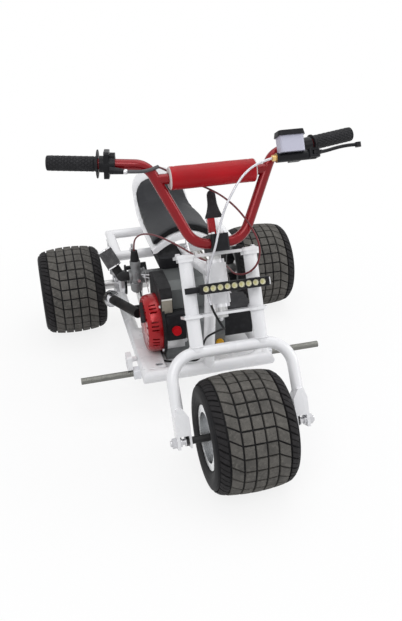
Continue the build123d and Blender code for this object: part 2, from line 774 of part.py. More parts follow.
# The blower housing: a round rim behind the recoil cover, and a cowl that leads the air over the cylinder.
shroud_radius = 90.0
shroud_rim = 8.0
cowl_foot = plate_top + crankcase_height + 1.0
cowl_left_x = 34.0
sheet = 2.5
with BuildPart() as shroud:
    with BuildSketch(across(shroud_x + shroud_rim, crank_y, crank_z)):
        Circle(shroud_radius)
    extrude(amount=shroud_rim)
    with BuildSketch(Plane.YZ.offset(shroud_x)):
        with BuildLine():
            Polyline((-62, cowl_foot), (-62, 318), (-45, 338), (-20, 342), (60, 342), (100, 322),
                     (100, cowl_foot), close=True)
        make_face()
    extrude(amount=cowl_right_x - shroud_x)
    with BuildSketch(Plane.YZ.offset(cowl_right_x)):
        with BuildLine():
            Polyline((-24, 262), (-14, 314), (12, 331), (108, 331), (108, 331 - sheet),
                     (12.7, 331 - sheet), (-11.8, 312.5), (-21.5, 262), close=True)
        make_face()
    extrude(amount=cowl_left_x - cowl_right_x)
save(shroud, "fan_shroud")

with BuildPart() as recoil:
    with BuildSketch(across(shroud_x - gap, crank_y, crank_z)):
        Circle(recoil_radius)
    extrude(amount=shroud_x - recoil_face_x - 2 * gap)
save(recoil, "recoil_starter")

tilt = radians(cylinder_tilt)
cylinder_x = -10.0
cylinder_size = 86.0
cylinder_foot = 72.0
cylinder_length = 98.0
cylinder_plane = Plane(origin=(cylinder_x, crank_y, crank_z), x_dir=(1, 0, 0), z_dir=(0, cos(tilt), sin(tilt)))
with BuildPart() as cylinder:
    with BuildSketch(cylinder_plane.offset(cylinder_foot - 16)):
        Circle(38)
    extrude(amount=16)
    with BuildSketch(cylinder_plane.offset(cylinder_foot)):
        RectangleRounded(cylinder_size, cylinder_size, 10)
    extrude(amount=cylinder_length)
    with BuildSketch(across(crankcase_left_x, crank_y, plate_top)):
        with Locations((0, crankcase_height / 2)):
            RectangleRounded(crankcase_depth, crankcase_height, 20)
    extrude(amount=crankcase_left_x - crankcase_right_x, mode=Mode.SUBTRACT)
save(cylinder, "cylinder")

carb_x = -144.0
carb_y = 140.0
with BuildPart() as carburettor:
    with BuildSketch(Plane.XY.offset(246)):
        with Locations((carb_x, carb_y)):
            Circle(19)
    extrude(amount=34)
    with BuildSketch(Plane.XY.offset(280)):
        with Locations((carb_x, carb_y)):
            RectangleRounded(40, 44, 8)
    extrude(amount=40)
    with BuildSketch(Plane.XY.offset(320)):
        with Locations((carb_x, carb_y)):
            Circle(15)
    extrude(amount=25)
    with BuildSketch(across(cylinder_x - cylinder_size / 2 - weld, carb_y, 298)):
        Circle(12)
    extrude(amount=cylinder_x - cylinder_size / 2 - weld - carb_x - 10)
save(carburettor, "carburettor")

with BuildPart() as carb_boot:
    with BuildSketch(Plane.XY.offset(345 + weld)):
        with Locations((carb_x, carb_y)):
            Circle(13)
    extrude(amount=30, taper=8)
save(carb_boot, "carburettor_boot")

filter_foot = Vector(-195, 200, 305)
filter_end = Vector(-217, 220, 348)
filter_run = (filter_end - filter_foot).normalized()
elbow_start = Vector(carb_x - 20 - weld, carb_y, 300)
elbow_knee = elbow_start - Vector(21, 0, 0)
elbow_turn = filter_foot - filter_run * 34
with BuildPart() as intake_elbow:
    with BuildLine():
        FilletPolyline(tuple(elbow_start), tuple(elbow_knee), tuple(elbow_turn), tuple(filter_foot), radius=15)
    with BuildSketch(between(elbow_start, elbow_knee)):
        Circle(13)
    sweep()
save(intake_elbow, "intake_elbow")

with BuildPart() as air_filter:
    with BuildSketch(between(filter_foot + filter_run * weld, filter_end)):
        Circle(22)
    extrude(amount=60)
save(air_filter, "air_filter")

silencer_start = Vector(-150, 108, 192)
silencer_end = Vector(-211, 268, 172)
silencer_radius = 14.5
silencer_ring = 26.5
ring_length = 12.0
silencer_run = (silencer_end - silencer_start).normalized()
header_end = silencer_start + silencer_run * 44
with BuildPart() as silencer:
    with BuildSketch(between(silencer_start, silencer_end)):
        Circle(silencer_radius)
    extrude(amount=(silencer_end - silencer_start).length)
    with BuildSketch(between(silencer_end - silencer_run * ring_length, silencer_end)):
        RegularPolygon(silencer_ring, 12)
        Circle(silencer_ring - 6, mode=Mode.SUBTRACT)
    extrude(amount=ring_length)
    with BuildSketch(between(silencer_end - silencer_run * ring_length, silencer_end)):
        Circle(silencer_ring - 4)
    extrude(amount=3)
    with BuildLine():
        FilletPolyline((-40, 126, 227), (-40, 152, 184), tuple(header_end), radius=22)
    with BuildSketch(between(Vector(-40, 126, 227), Vector(-40, 152, 184))):
        Circle(10)
    sweep()
    with BuildSketch(cylinder_plane.offset(cylinder_foot)):
        Rectangle(cylinder_size + 2 * weld, cylinder_size + 2 * weld)
    extrude(amount=cylinder_length, mode=Mode.SUBTRACT)
save(silencer, "silencer")

with BuildPart() as clutch:
    with BuildSketch(across(sprocket_x + 3.3, crank_y, crank_z)):
        Circle(chain_pitch / (2 * sin(pi / clutch_teeth)) + tooth_height)
        Circle(9, mode=Mode.SUBTRACT)
        with PolarLocations(chain_pitch / (2 * sin(pi / clutch_teeth)), clutch_teeth):
            Circle(roller_radius, mode=Mode.SUBTRACT)
    extrude(amount=6.6)
    with BuildSketch(across(sprocket_x - 8, crank_y, crank_z)):
        Circle(30)
        Circle(9, mode=Mode.SUBTRACT)
    extrude(amount=28)
    with BuildSketch(across(sprocket_x - 2, crank_y, crank_z)):
        Circle(14)
        Circle(9, mode=Mode.SUBTRACT)
    extrude(amount=7)
save(clutch, "clutch")

with BuildPart() as clutch_cover:
    with BuildSketch(across(145, crank_y, crank_z)):
        with Locations((2, -8)):
            RectangleRounded(96, 86, 8)
    extrude(amount=145 - crankcase_left_x - weld)
    with BuildSketch(across(142, crank_y, crank_z)):
        with Locations((-4, -8)):
            Rectangle(102, 80)
    extrude(amount=142 - crankcase_left_x, mode=Mode.SUBTRACT)
save(clutch_cover, "clutch_cover")

# The chain: an inner and an outer plate line each side of the teeth, rollers on the straight runs.
small_r = chain_pitch / (2 * sin(pi / clutch_teeth))
large_r = chain_pitch / (2 * sin(pi / sprocket_teeth))
chain_dy = rear_y - crank_y
chain_dz = tyre_radius - crank_z
chain_span = (chain_dy ** 2 + chain_dz ** 2) ** 0.5
lean = asin((large_r - small_r) / chain_span)
line_angle = asin(chain_dz / chain_span)
plate_half_height = 4.8
plate_inner = 3.9
plate_outer = 6.4


def tangent_place(sign, radius, y, z):
    """Where a straight run of the chain meets a sprocket: sign 1 above, -1 below."""
    a = line_angle + sign * (pi / 2 + lean)
    return Vector(0, y + radius * cos(a), z + radius * sin(a))


with BuildPart() as chain:
    runs = []
    for sign in (1, -1):
        near = tangent_place(sign, small_r, crank_y, crank_z)
        far = tangent_place(sign, large_r, rear_y, tyre_radius)
        runs.append((near, far))
    for low in (sprocket_x + plate_inner, sprocket_x - plate_outer):
        with BuildSketch(Plane.YZ.offset(low)):
            for grow, how in ((plate_half_height, Mode.ADD), (-plate_half_height, Mode.SUBTRACT)):
                with Locations((crank_y, crank_z)):
                    Circle(small_r + grow, mode=how)
                with Locations((rear_y, tyre_radius)):
                    Circle(large_r + grow, mode=how)
                with BuildLine():
                    corners = []
                    for sign in (1, -1):
                        for radius, y, z in ((small_r, crank_y, crank_z), (large_r, rear_y, tyre_radius)):
                            place = tangent_place(sign, radius + grow, y, z)
                            corners.append((place.Y, place.Z))
                    Polyline(corners[0], corners[1], corners[3], corners[2], close=True)
                make_face(mode=how)
        extrude(amount=plate_outer - plate_inner)
    for near, far in runs:
        run = far - near
        count = int(run.length / chain_pitch) - 3
        for n in range(2, count):
            centre = near + run.normalized() * (n * chain_pitch)
            with BuildSketch(Plane.YZ.offset(sprocket_x - plate_outer)):
                with Locations((centre.Y, centre.Z)):
                    Circle(roller_radius - 0.1)
            extrude(amount=2 * plate_outer)
save(chain, "chain")

with BuildPart() as fuel_tank:
    with BuildSketch(Plane.XY.offset(334)):
        with Locations((-16.2 - 33, 157)):
            RectangleRounded(66, 145, 16)
    extrude(amount=29)
save(fuel_tank, "fuel_tank")

with BuildPart() as oil_cap:
    with BuildSketch(Plane.XZ.offset(crankcase_depth / 2 + weld)):
        with Locations((46, 160)):
            Circle(11)
    extrude(amount=12)
save(oil_cap, "oil_cap")

with BuildPart() as switch_box:
    with BuildSketch(Plane.XZ.offset(crankcase_depth / 2 + weld)):
        with Locations((-77, 236)):
            RectangleRounded(52, 76, 5)
    extrude(amount=18)
    with BuildSketch(Plane.XZ.offset(crankcase_depth / 2 + weld + 18)):
        with Locations((-77, 229)):
            Circle(13)
    extrude(amount=12, taper=8)
save(switch_box, "switch_box")

with BuildPart() as brake_pedal:
    with BuildSketch(across(-rail_half_spacing - rail_radius - weld, -24, 124)):
        Circle(7)
    extrude(amount=30)
    with BuildSketch(across(-199, -42, 130)):
        RectangleRounded(38, 44, 8)
        RectangleRounded(32, 38, 5, mode=Mode.SUBTRACT)
    extrude(amount=14)
save(brake_pedal, "brake_pedal")

# ---------------------------------------------------------------- seat
seat_stations = 13
with BuildLine(Plane.YZ) as seat_edge:
    Spline((seat_front_y, seat_edge_height), (seat_front_y + 110, seat_edge_height - 5),
           (seat_front_y + 220, seat_edge_height + 3), (seat_front_y + 300, seat_edge_height + 30),
           (seat_back_y - 24, seat_back_top - 54), (seat_back_y, seat_back_top),
           tangents=[(1, -0.08), (0.42, 1)])


def seat_rise(t):
    """Height of the middle of the seat above its side edges: full in front, gone at the back."""
    return seat_crown * (1 - t * t * (3 - 2 * t)) + 2


def seat_layer(bottom, top):
    """A layer of the seat between two heights square to it."""
    w = seat_half_width
    with BuildPart() as layer:
        for n in range(seat_stations):
            t = n / (seat_stations - 1)
            rise = seat_rise(t)
            with BuildSketch(Plane(origin=seat_edge.line @ t, x_dir=(1, 0, 0), z_dir=-(seat_edge.line % t))):
                with BuildLine():
                    ThreePointArc((-w, bottom), (0, rise + bottom), (w, bottom))
                    Line((w, bottom), (w, top))
                    ThreePointArc((w, top), (0, rise + top), (-w, top))
                    Line((-w, top), (-w, bottom))
                make_face()
        loft()
    return layer


wall_foot = 369.0
with BuildPart() as seat_shell:
    add(seat_layer(0, shell_thickness).part)
    with BuildSketch(Plane.XZ.offset(-seat_front_y - 0.5)):
        with BuildLine():
            ThreePointArc((-seat_half_width, seat_edge_height + 2), (0, seat_edge_height + seat_rise(0) + 2),
                          (seat_half_width, seat_edge_height + 2))
            Polyline((seat_half_width, seat_edge_height + 2), (seat_half_width, wall_foot),
                     (-seat_half_width, wall_foot), (-seat_half_width, seat_edge_height + 2))
        make_face()
    extrude(amount=-shell_thickness)
save(seat_shell, "seat_shell")
pad_end = Plane(origin=seat_edge.line @ 0.97, x_dir=(1, 0, 0), z_dir=seat_edge.line % 0.97)
with BuildPart() as seat_pad:
    add(seat_layer(shell_thickness + gap, shell_thickness + seat_pad_thickness).part)
    split(bisect_by=pad_end, keep=Keep.BOTTOM)
    add(seat_shell.part, mode=Mode.SUBTRACT)
save(seat_pad, "seat_pad")

stay_x = 60.0
with BuildPart() as seat_stays:
    for side in (-1, 1):
        for y in (loop_front_y, loop_rear_y):
            with BuildSketch(Plane.XY.offset(loop_height)):
                with Locations((side * stay_x, y)):
                    Circle(8)
            extrude(until=Until.NEXT, target=seat_shell.part)
    for y in (loop_front_y, loop_rear_y):
        with BuildSketch(across(loop_half_width, y, loop_height)):
            Circle(loop_radius + weld)
        extrude(amount=2 * loop_half_width, mode=Mode.SUBTRACT)
save(seat_stays, "seat_stays")

with BuildPart() as seat_bracket:
    with BuildSketch(Plane.YZ.offset(-2)):
        with BuildLine():
            Polyline((50, backbone_at(50).Z), (104, 402), (seat_front_y, 402), (seat_front_y, 352), close=True)
        make_face()
        with Locations((84, 384), (101, 387)):
            Circle(4, mode=Mode.SUBTRACT)
    extrude(amount=4)
    with BuildSketch(between(back_start, back_end)):
        Circle(backbone_radius + weld)
    extrude(amount=(back_end - back_start).length, mode=Mode.SUBTRACT)
save(seat_bracket, "seat_bracket")

# ---------------------------------------------------------------- brake caliper
caliper_angle = radians(135)
hose_end_y = 343.4            # where the brake hose meets the caliper
caliper_middle = 74.0         # from the axle
caliper_half = 23.0
disc_room = 6.0
pad_room = 1.0
caliper_plane = Plane(origin=(disc_x, rear_y, tyre_radius), x_dir=(0, cos(caliper_angle), sin(caliper_angle)),
                      z_dir=(1, 0, 0))
bracket_x = -rail_half_spacing + 25 - 1.1
with BuildPart() as caliper:
    with BuildSketch(caliper_plane.offset(-caliper_half)):
        with Locations((caliper_middle, 0)):
            RectangleRounded(50, 58, 8)
    extrude(amount=2 * caliper_half)
    with BuildSketch(caliper_plane.offset(-disc_room - 2)):
        Circle(disc_radius + disc_room)
    extrude(amount=2 * disc_room + 4, mode=Mode.SUBTRACT)
    for side in (-1, 1):
        with BuildSketch(caliper_plane.offset(side * (2 + pad_room))):
            with Locations((disc_radius - 18, 0)):
                Circle(14)
        extrude(amount=side * (disc_room + 2))
    for t in (-18, 18):
        with BuildSketch(caliper_plane.offset(-caliper_half)):
            with Locations((caliper_middle + 10, t)):
                Circle(7)
        extrude(amount=-(disc_x - caliper_half - bracket_x))
    with BuildSketch(Plane.YZ.offset(bracket_x)):
        with BuildLine():
            Polyline((rear_y - 20, tyre_radius + 34), (rear_y - 46, tyre_radius + 84),
                     (rear_y - 84, tyre_radius + 48), (rear_y - 34, tyre_radius + 16), close=True)
        make_face()
        with Locations((rear_y, tyre_radius)):
            Circle(bearing_radius + 10)
            Circle(axle_radius + 12, mode=Mode.SUBTRACT)
    extrude(amount=-6)
    with BuildSketch(Plane.YZ.offset(bracket_x)):
        with Locations((rear_y, tyre_radius)):
            Circle(bearing_radius + bearing_fit)
    extrude(amount=-6, mode=Mode.SUBTRACT)
    with BuildSketch(Plane.XZ.offset(-hose_end_y)):
        with Locations((-113, 197)):
            Circle(5.5)
    extrude(amount=-18)
save(caliper, "brake_caliper")

# ---------------------------------------------------------------- cable and hose


def corner_radii(points):
    """The arc for each corner of a route: as large as its two runs allow."""
    radii = []
    for before, here, after in zip(points, points[1:], points[2:]):
        turn = radians((here - before).get_angle(after - here))
        shorter = min((here - before).length, (after - here).length)
        radii.append(0.45 * shorter / tan(turn / 2))
    return radii


def tube(points, radius, name):
    """A cable or hose of one round section along a route of straight runs and tangent arcs."""
    radii = corner_radii(points)
    with BuildPart() as body:
        with BuildLine() as route:
            FilletPolyline(*[tuple(point) for point in points], radius=radii)
        with BuildSketch(between(points[0], points[1])):
            Circle(radius)
        sweep()
    length = sum(edge.length for edge in route.line.edges())
    print(name, "length", round(length), "radii", [round(r) for r in radii],
          "volume over section x length", round(body.part.volume / (pi * radius ** 2 * length), 4))
    save(body, name)


throttle_upper_route = [
    (-197.4, -90.2, 198.8), (-170, -97, 194), (-143, -101, 194), (-121, -85, 203), (-103, -54, 201), (-73, -43, 185),
    (-40, -40, 167), (-8, -44, 151), (20, -58, 129), (43, -71, 102), (61, -79, 73), (76, -81, 44), (87, -79, 16),
    (90, -74, -10), (85, -66, -33), (71, -57, -50), (53, -47, -57), (38, -30, -54), (34, -12, -47)]
throttle_lower_route = [
    (37, 2, -38), (33, 25, -31), (10, 45, -22)]
throttle_frame_route = [
    (-18, -136, 451), (-38, -94, 455), (-58, -50, 458), (-79, -2, 458), (-99, 42, 455), (-118, 82, 446),
    (-134, 116, 429), (-144, 140, 402), (-144, 140, 375.3)]
hose_upper_route = [
    (132.2, -112, 192), (112, -113, 188), (86, -115, 179), (62, -115, 163), (44, -112, 143), (29, -107, 121),
    (14, -99, 96), (3, -91, 68), (-8, -88, 38), (-17, -84.5, 10), (-26, -68, -16), (-33, -54, -42),
    (-38, -46, -70), (-38, -45, -98), (-34, -49, -124), (-25, -50, -148), (-13, -38, -168), (-4, -20, -178),
    (0, -5, -180)]
hose_lower_route = [
    (0, -268.5, 323.2), (-3, -250, 311), (-8, -225, 292), (-15, -198, 270), (-19, -172, 248), (-20.5, -151, 222),
    (-20.5, -137, 194), (-22, -130, 168), (-34, -119, 148), (-53, -103, 142), (-77, -86, 134), (-102, -72, 129),
    (-124, -50, 127), (-133, -20, 126), (-134, 13, 126.2), (-133, 46, 127), (-131, 79, 129), (-128, 111, 134),
    (-126, 142, 142), (-123, 172, 152), (-121, 202, 162), (-119, 232, 171), (-117, 261, 180), (-115, 289, 188),
    (-113, 316, 194), (-113, hose_end_y - gap, 197)]

tube([steer_point(*place) for place in throttle_upper_route], cable_radius, "throttle_cable_upper")
tube([steer_point(*place) for place in throttle_lower_route]
     + [Vector(*place) for place in throttle_frame_route], cable_radius, "throttle_cable_lower")
tube([steer_point(*place) for place in hose_upper_route], hose_radius, "brake_hose_upper")
tube([Vector(*place) for place in hose_lower_route], hose_radius, "brake_hose_lower")
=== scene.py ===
import json
import math
import random

import bmesh
import bpy
import numpy as np
from mathutils import Matrix, Vector, noise


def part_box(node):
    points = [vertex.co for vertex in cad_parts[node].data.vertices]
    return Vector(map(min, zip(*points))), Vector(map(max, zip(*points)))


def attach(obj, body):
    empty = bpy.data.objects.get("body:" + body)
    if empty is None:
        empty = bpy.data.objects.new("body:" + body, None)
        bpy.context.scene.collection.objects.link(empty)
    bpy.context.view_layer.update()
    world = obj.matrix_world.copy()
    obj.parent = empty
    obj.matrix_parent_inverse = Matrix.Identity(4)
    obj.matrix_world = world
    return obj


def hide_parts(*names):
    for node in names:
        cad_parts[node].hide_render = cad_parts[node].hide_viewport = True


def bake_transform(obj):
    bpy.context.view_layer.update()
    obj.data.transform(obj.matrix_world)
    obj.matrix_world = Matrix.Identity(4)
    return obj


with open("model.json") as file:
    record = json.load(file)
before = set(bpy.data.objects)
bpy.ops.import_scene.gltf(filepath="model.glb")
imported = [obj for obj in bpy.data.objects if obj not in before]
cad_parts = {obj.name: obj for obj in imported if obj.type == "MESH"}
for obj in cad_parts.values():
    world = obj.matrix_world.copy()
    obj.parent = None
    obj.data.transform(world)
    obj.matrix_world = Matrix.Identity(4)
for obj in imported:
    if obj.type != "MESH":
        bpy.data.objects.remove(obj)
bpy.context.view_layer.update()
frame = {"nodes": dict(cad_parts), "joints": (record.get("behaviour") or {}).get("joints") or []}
nodes = frame["nodes"]

MM = 0.001
TAU = 2 * math.pi

# The steering frame: z runs up the steering axis, y back and down, x to the rider's left.
turn_joint = next(joint for joint in frame["joints"] if joint["name"] == "steering_turn")
steer_origin = Vector(turn_joint["pos_m"])
steer_z = Vector(turn_joint["axis"]).normalized()
steer_x = Vector((1, 0, 0))
steer_y = steer_z.cross(steer_x)
steering = Matrix((steer_x, steer_y, steer_z)).transposed().to_4x4()
steering.translation = steer_origin
world = Matrix.Identity(4)


# Driving sizes, in millimetres.
axle_height = 140.0           # the three wheel centres above the ground
axle_reach = 429.0            # front and rear axle from the middle
rear_wheel_x = 316.0          # middle of a rear wheel
fork_tube_x = 78.0            # fork tubes, in the steering frame
crank_height = 217.0
carburettor_x, carburettor_y = -144.0, 140.0
front_hub = (0, -axle_reach * MM, axle_height * MM)


def local(x, y, z):
    """A place in the steering frame, given in millimetres there."""
    return steering @ Vector((x * MM, y * MM, z * MM))


def mm(x, y, z):
    return Vector((x * MM, y * MM, z * MM))


# ---------------------------------------------------------------- shader nodes
WHITE = (1, 1, 1, 1)


def add_node(tree, kind, values=None, links=None, **settings):
    """A shader node with its settings, the values of its sockets and what feeds them."""
    node = tree.nodes.new(kind)
    for name, value in settings.items():
        setattr(node, name, value)
    for socket, value in (values or {}).items():
        node.inputs[socket].default_value = value
    for socket, source in (links or {}).items():
        tree.links.new(source, node.inputs[socket])
    return node


def rays_that_see_white(tree):
    """1 for camera, mirror and clear rays, 0 for the rays that carry light."""
    path = add_node(tree, "ShaderNodeLightPath")
    value = path.outputs["Is Camera Ray"]
    for other in ("Is Glossy Ray", "Is Transmission Ray"):
        both = {0: value, 1: path.outputs[other]}
        value = add_node(tree, "ShaderNodeMath", links=both, operation="MAXIMUM").outputs[0]
    return value


# ---------------------------------------------------------------- camera, floor and light
camera_place = (-0.3886, -1.6536, 1.1577)
camera_yaw, camera_down, camera_roll = (math.radians(angle) for angle in (-13.573, 28.554, -1.678))
camera_lens, camera_sensor = 40.37, 36.0


def camera_turn(yaw, down, roll):
    """Rotation of a camera that looks along +Y, is turned about Z, tipped down and rolled."""
    tip = Matrix.Rotation(roll, 3, "Y") @ Matrix.Rotation(down, 3, "X")
    world_to_view = tip @ Matrix.Rotation(-yaw, 3, "Z")
    right, forward, up = world_to_view
    return Matrix((right, up, -forward)).transposed().to_4x4()


def add_camera():
    data = bpy.data.cameras.new("camera")
    data.sensor_width = camera_sensor
    data.lens = camera_lens
    data.clip_end = 60.0
    camera = bpy.data.objects.new("camera", data)
    camera.matrix_world = Matrix.Translation(camera_place) @ camera_turn(camera_yaw, camera_down, camera_roll)
    bpy.context.collection.objects.link(camera)
    bpy.context.scene.camera = camera


def add_area(name, place, aim, size, watts):
    data = bpy.data.lights.new(name, "AREA")
    data.shape = "RECTANGLE"
    data.size, data.size_y = size
    data.energy = watts
    lamp = bpy.data.objects.new(name, data)
    lamp.matrix_world = (Matrix.Translation(place)
                         @ (Vector(aim) - Vector(place)).to_track_quat("-Z", "Y").to_matrix().to_4x4())
    bpy.context.collection.objects.link(lamp)


def add_world():
    sky = bpy.data.worlds.new("studio")
    bpy.context.scene.world = sky
    sky.use_nodes = True
    tree = sky.node_tree
    back = tree.nodes["Background"]
    back.inputs["Strength"].default_value = 0.5
    back.inputs["Color"].default_value = (0.97, 0.98, 1.0, 1)
    glow = add_node(tree, "ShaderNodeBackground", {"Color": WHITE})
    mix = add_node(tree, "ShaderNodeMixShader",
                   links={0: rays_that_see_white(tree), 1: back.outputs[0], 2: glow.outputs[0]})
    tree.links.new(mix.outputs[0], tree.nodes["World Output"].inputs["Surface"])


def add_floor():
    """A pale floor: white far away, and a matt surface that holds the object's shadow near it."""
    mesh = bpy.data.meshes.new("floor")
    r = 14.0
    mesh.from_pydata([(-r, -r, 0), (r, -r, 0), (r, r, 0), (-r, r, 0)], [], [(0, 1, 2, 3)])
    floor = bpy.data.objects.new("floor", mesh)
    bpy.context.collection.objects.link(floor)
    mat = bpy.data.materials.new("floor")
    mat.use_nodes = True
    tree = mat.node_tree
    matt = tree.nodes["Principled BSDF"]
    matt.inputs["Base Color"].default_value = (0.93, 0.93, 0.93, 1)
    matt.inputs["Roughness"].default_value = 0.9
    glow = add_node(tree, "ShaderNodeEmission", {"Color": WHITE})
    place = add_node(tree, "ShaderNodeTexCoord").outputs["Object"]
    away = add_node(tree, "ShaderNodeVectorMath", links={0: place}, operation="LENGTH")
    fade = add_node(tree, "ShaderNodeMapRange", links={"Value": away.outputs["Value"]},
                    values={"From Min": 0.35, "From Max": 1.3, "To Min": 0.80, "To Max": 1.0})
    share = add_node(tree, "ShaderNodeMath", operation="MULTIPLY",
                     links={0: rays_that_see_white(tree), 1: fade.outputs["Result"]})
    shade = add_node(tree, "ShaderNodeMixShader",
                     links={0: share.outputs[0], 1: matt.outputs[0], 2: glow.outputs[0]})
    tree.links.new(shade.outputs[0], tree.nodes["Material Output"].inputs["Surface"])
    mesh.materials.append(mat)


# ---------------------------------------------------------------- materials
class Finish:
    """A procedural material in the making: calls mix in colour, roughness and metal, and stack up bumps."""

    def __init__(self, name, color, rough, metal=0.0, coat=0.0, spec=0.5):
        self.mat = bpy.data.materials.new(name)
        self.mat.use_nodes = True
        self.tree = self.mat.node_tree
        self.shader = self.tree.nodes["Principled BSDF"]
        self.put("Base Color", (*color, 1))
        self.put("Roughness", rough)
        self.put("Metallic", metal)
        self.put("Coat Weight", coat)
        self.put("Coat Roughness", 0.04)
        self.put("Specular IOR Level", spec)
        self.coords = self.tree.nodes.new("ShaderNodeTexCoord").outputs["Object"]
        self.normal = None

    def put(self, socket, value):
        self.shader.inputs[socket].default_value = value

    def node(self, kind, values=None, links=None, **settings):
        return add_node(self.tree, kind, values, links, **settings)

    def math(self, operation, a, b=None, clamp=False):
        node = self.node("ShaderNodeMath", operation=operation, use_clamp=clamp)
        for n, value in enumerate((a, b)):
            if isinstance(value, (int, float)):
                node.inputs[n].default_value = value
            elif value is not None:
                self.tree.links.new(value, node.inputs[n])
        return node.outputs[0]

    def placed(self, matrix):
        """Object coordinates seen from another frame."""
        if matrix == world:
            return self.coords
        shift = self.node("ShaderNodeVectorMath", {1: matrix.translation}, {0: self.coords},
                          operation="SUBTRACT")
        join = self.node("ShaderNodeCombineXYZ")
        for n in range(3):
            dot = self.node("ShaderNodeVectorMath", {1: matrix.col[n].to_3d()}, {0: shift.outputs[0]},
                            operation="DOT_PRODUCT")
            self.tree.links.new(dot.outputs["Value"], join.inputs[n])
        return join.outputs[0]

    def axes(self, vector):
        return self.node("ShaderNodeSeparateXYZ", links={0: vector}).outputs

    def noise(self, scale, detail=4.0, stretch=None):
        vector = self.coords
        if stretch:
            stretched = self.node("ShaderNodeVectorMath", {1: stretch}, {0: vector}, operation="MULTIPLY")
            vector = stretched.outputs[0]
        values = {"Scale": scale, "Detail": detail, "Roughness": 0.55}
        return self.node("ShaderNodeTexNoise", values, {"Vector": vector}).outputs["Fac"]

    def cells(self, scale):
        texture = self.node("ShaderNodeTexVoronoi", {"Scale": scale}, {"Vector": self.coords})
        return texture.outputs["Distance"]

    def ramp(self, value, low, high, start=0.0, end=1.0):
        values = {"From Min": low, "From Max": high, "To Min": start, "To Max": end}
        return self.node("ShaderNodeMapRange", values, {"Value": value}).outputs["Result"]

    def box(self, low, high, matrix=world, soft=0.0004):
        """1 inside a box of a frame, in millimetres, with a soft edge."""
        out = None
        for axis, a, b in zip(self.axes(self.placed(matrix)), low, high):
            for sign, limit in ((1, a), (-1, b)):
                if limit is None:
                    continue
                side = self.ramp(axis, limit * MM - sign * soft, limit * MM + sign * soft)
                out = side if out is None else self.math("MINIMUM", out, side)
        return out

    def mix(self, socket, value, mask):
        """Give a socket another value where the mask is 1."""
        target = self.shader.inputs[socket]
        colour = socket == "Base Color"
        node = self.node("ShaderNodeMix", data_type="RGBA" if colour else "FLOAT")
        factor, before, after = (next(s for s in node.inputs if s.name == name and s.enabled)
                                 for name in ("Factor", "A", "B"))
        if target.is_linked:
            self.tree.links.new(target.links[0].from_socket, before)
        else:
            before.default_value = target.default_value
        after.default_value = (*value, 1) if colour else value
        self.tree.links.new(mask, factor)
        self.tree.links.new(next(s for s in node.outputs if s.enabled), target)

    def zone(self, mask, color, rough, metal=0.0):
        self.mix("Base Color", color, mask)
        self.mix("Roughness", rough, mask)
        self.mix("Metallic", metal, mask)

    def mottle(self, color, scale, low=0.42, high=0.68, strength=1.0, detail=5.0):
        """Patches of another colour."""
        self.mix("Base Color", color, self.ramp(self.noise(scale, detail), low, high, 0.0, strength))

    def smudge(self, rough, scale, low=0.4, high=0.7):
        """Patches of another roughness."""
        self.mix("Roughness", rough, self.ramp(self.noise(scale, 3.0), low, high))

    def bump(self, height, depth, strength=1.0):
        """Raise the surface by a height texture, on top of the bumps before."""
        links = {"Height": height}
        if self.normal is not None:
            links["Normal"] = self.normal
        self.normal = self.node("ShaderNodeBump", {"Strength": strength, "Distance": depth}, links).outputs[0]
        self.tree.links.new(self.normal, self.shader.inputs["Normal"])

    def grain(self, scale, depth, detail=3.0, strength=1.0):
        self.bump(self.noise(scale, detail), depth, strength)


def times(color, factor):
    return tuple(channel * factor for channel in color)


def white_paint():
    f = Finish("white_paint", (0.86, 0.86, 0.875), 0.22, coat=0.4)
    f.mottle((0.79, 0.79, 0.815), 5, strength=0.6)
    f.mottle((0.66, 0.64, 0.62), 42, 0.68, 0.82, 0.5, 8)
    f.smudge(0.36, 9)
    f.grain(240, 0.00025, 2)
    f.grain(1400, 0.00006, 2)
    return f


def red_paint(name="red_paint", color=(0.25, 0.001, 0.006)):
    f = Finish(name, color, 0.22, metal=0.25, coat=0.25, spec=0.25)
    f.mottle(times(color, 0.72), 8, strength=0.8)
    f.smudge(0.26, 30)
    f.grain(300, 0.00012, 2)
    return f


def black_metal(name="black_metal", color=(0.012, 0.012, 0.014), rough=0.38):
    f = Finish(name, color, rough, spec=0.16)
    f.mottle(times(color, 2.2), 60, 0.5, 0.75, 0.7)
    f.smudge(rough + 0.2, 22)
    f.grain(900, 0.00012)
    return f


def cast_metal(name, color, rough=0.5, metal=0.85):
    f = Finish(name, color, rough, metal)
    f.mottle(times(color, 0.45), 34, 0.48, 0.72, 0.75, 8)
    f.smudge(rough + 0.18, 60)
    f.grain(620, 0.0004, 6)
    return f


def bright_metal(name, color, rough, stretch=(1, 1, 1)):
    f = Finish(name, color, rough, 1.0)
    f.mottle(times(color, 0.7), 40, 0.5, 0.8, 0.6, 7)
    f.mix("Roughness", rough + 0.16, f.ramp(f.noise(260, 3, stretch=stretch), 0.35, 0.7))
    f.bump(f.noise(900, 3, stretch=stretch), 0.00006)
    return f


def black_rubber(name="black_rubber", color=(0.012, 0.012, 0.013), rough=0.6):
    f = Finish(name, color, rough, spec=0.18)
    f.mottle(times(color, 2.4), 50, 0.5, 0.8, 0.6)
    f.grain(1300, 0.00018)
    return f


def tread_rubber():
    f = Finish("tread_rubber", (0.075, 0.072, 0.067), 0.8, spec=0.15)
    f.mottle((0.125, 0.118, 0.108), 14, 0.36, 0.62, 0.9, 6)
    f.mottle((0.20, 0.19, 0.17), 130, 0.5, 0.75, 0.55, 8)
    f.mottle((0.040, 0.038, 0.036), 420, 0.54, 0.72, 0.7, 4)
    f.grain(700, 0.0005, 5)
    return f


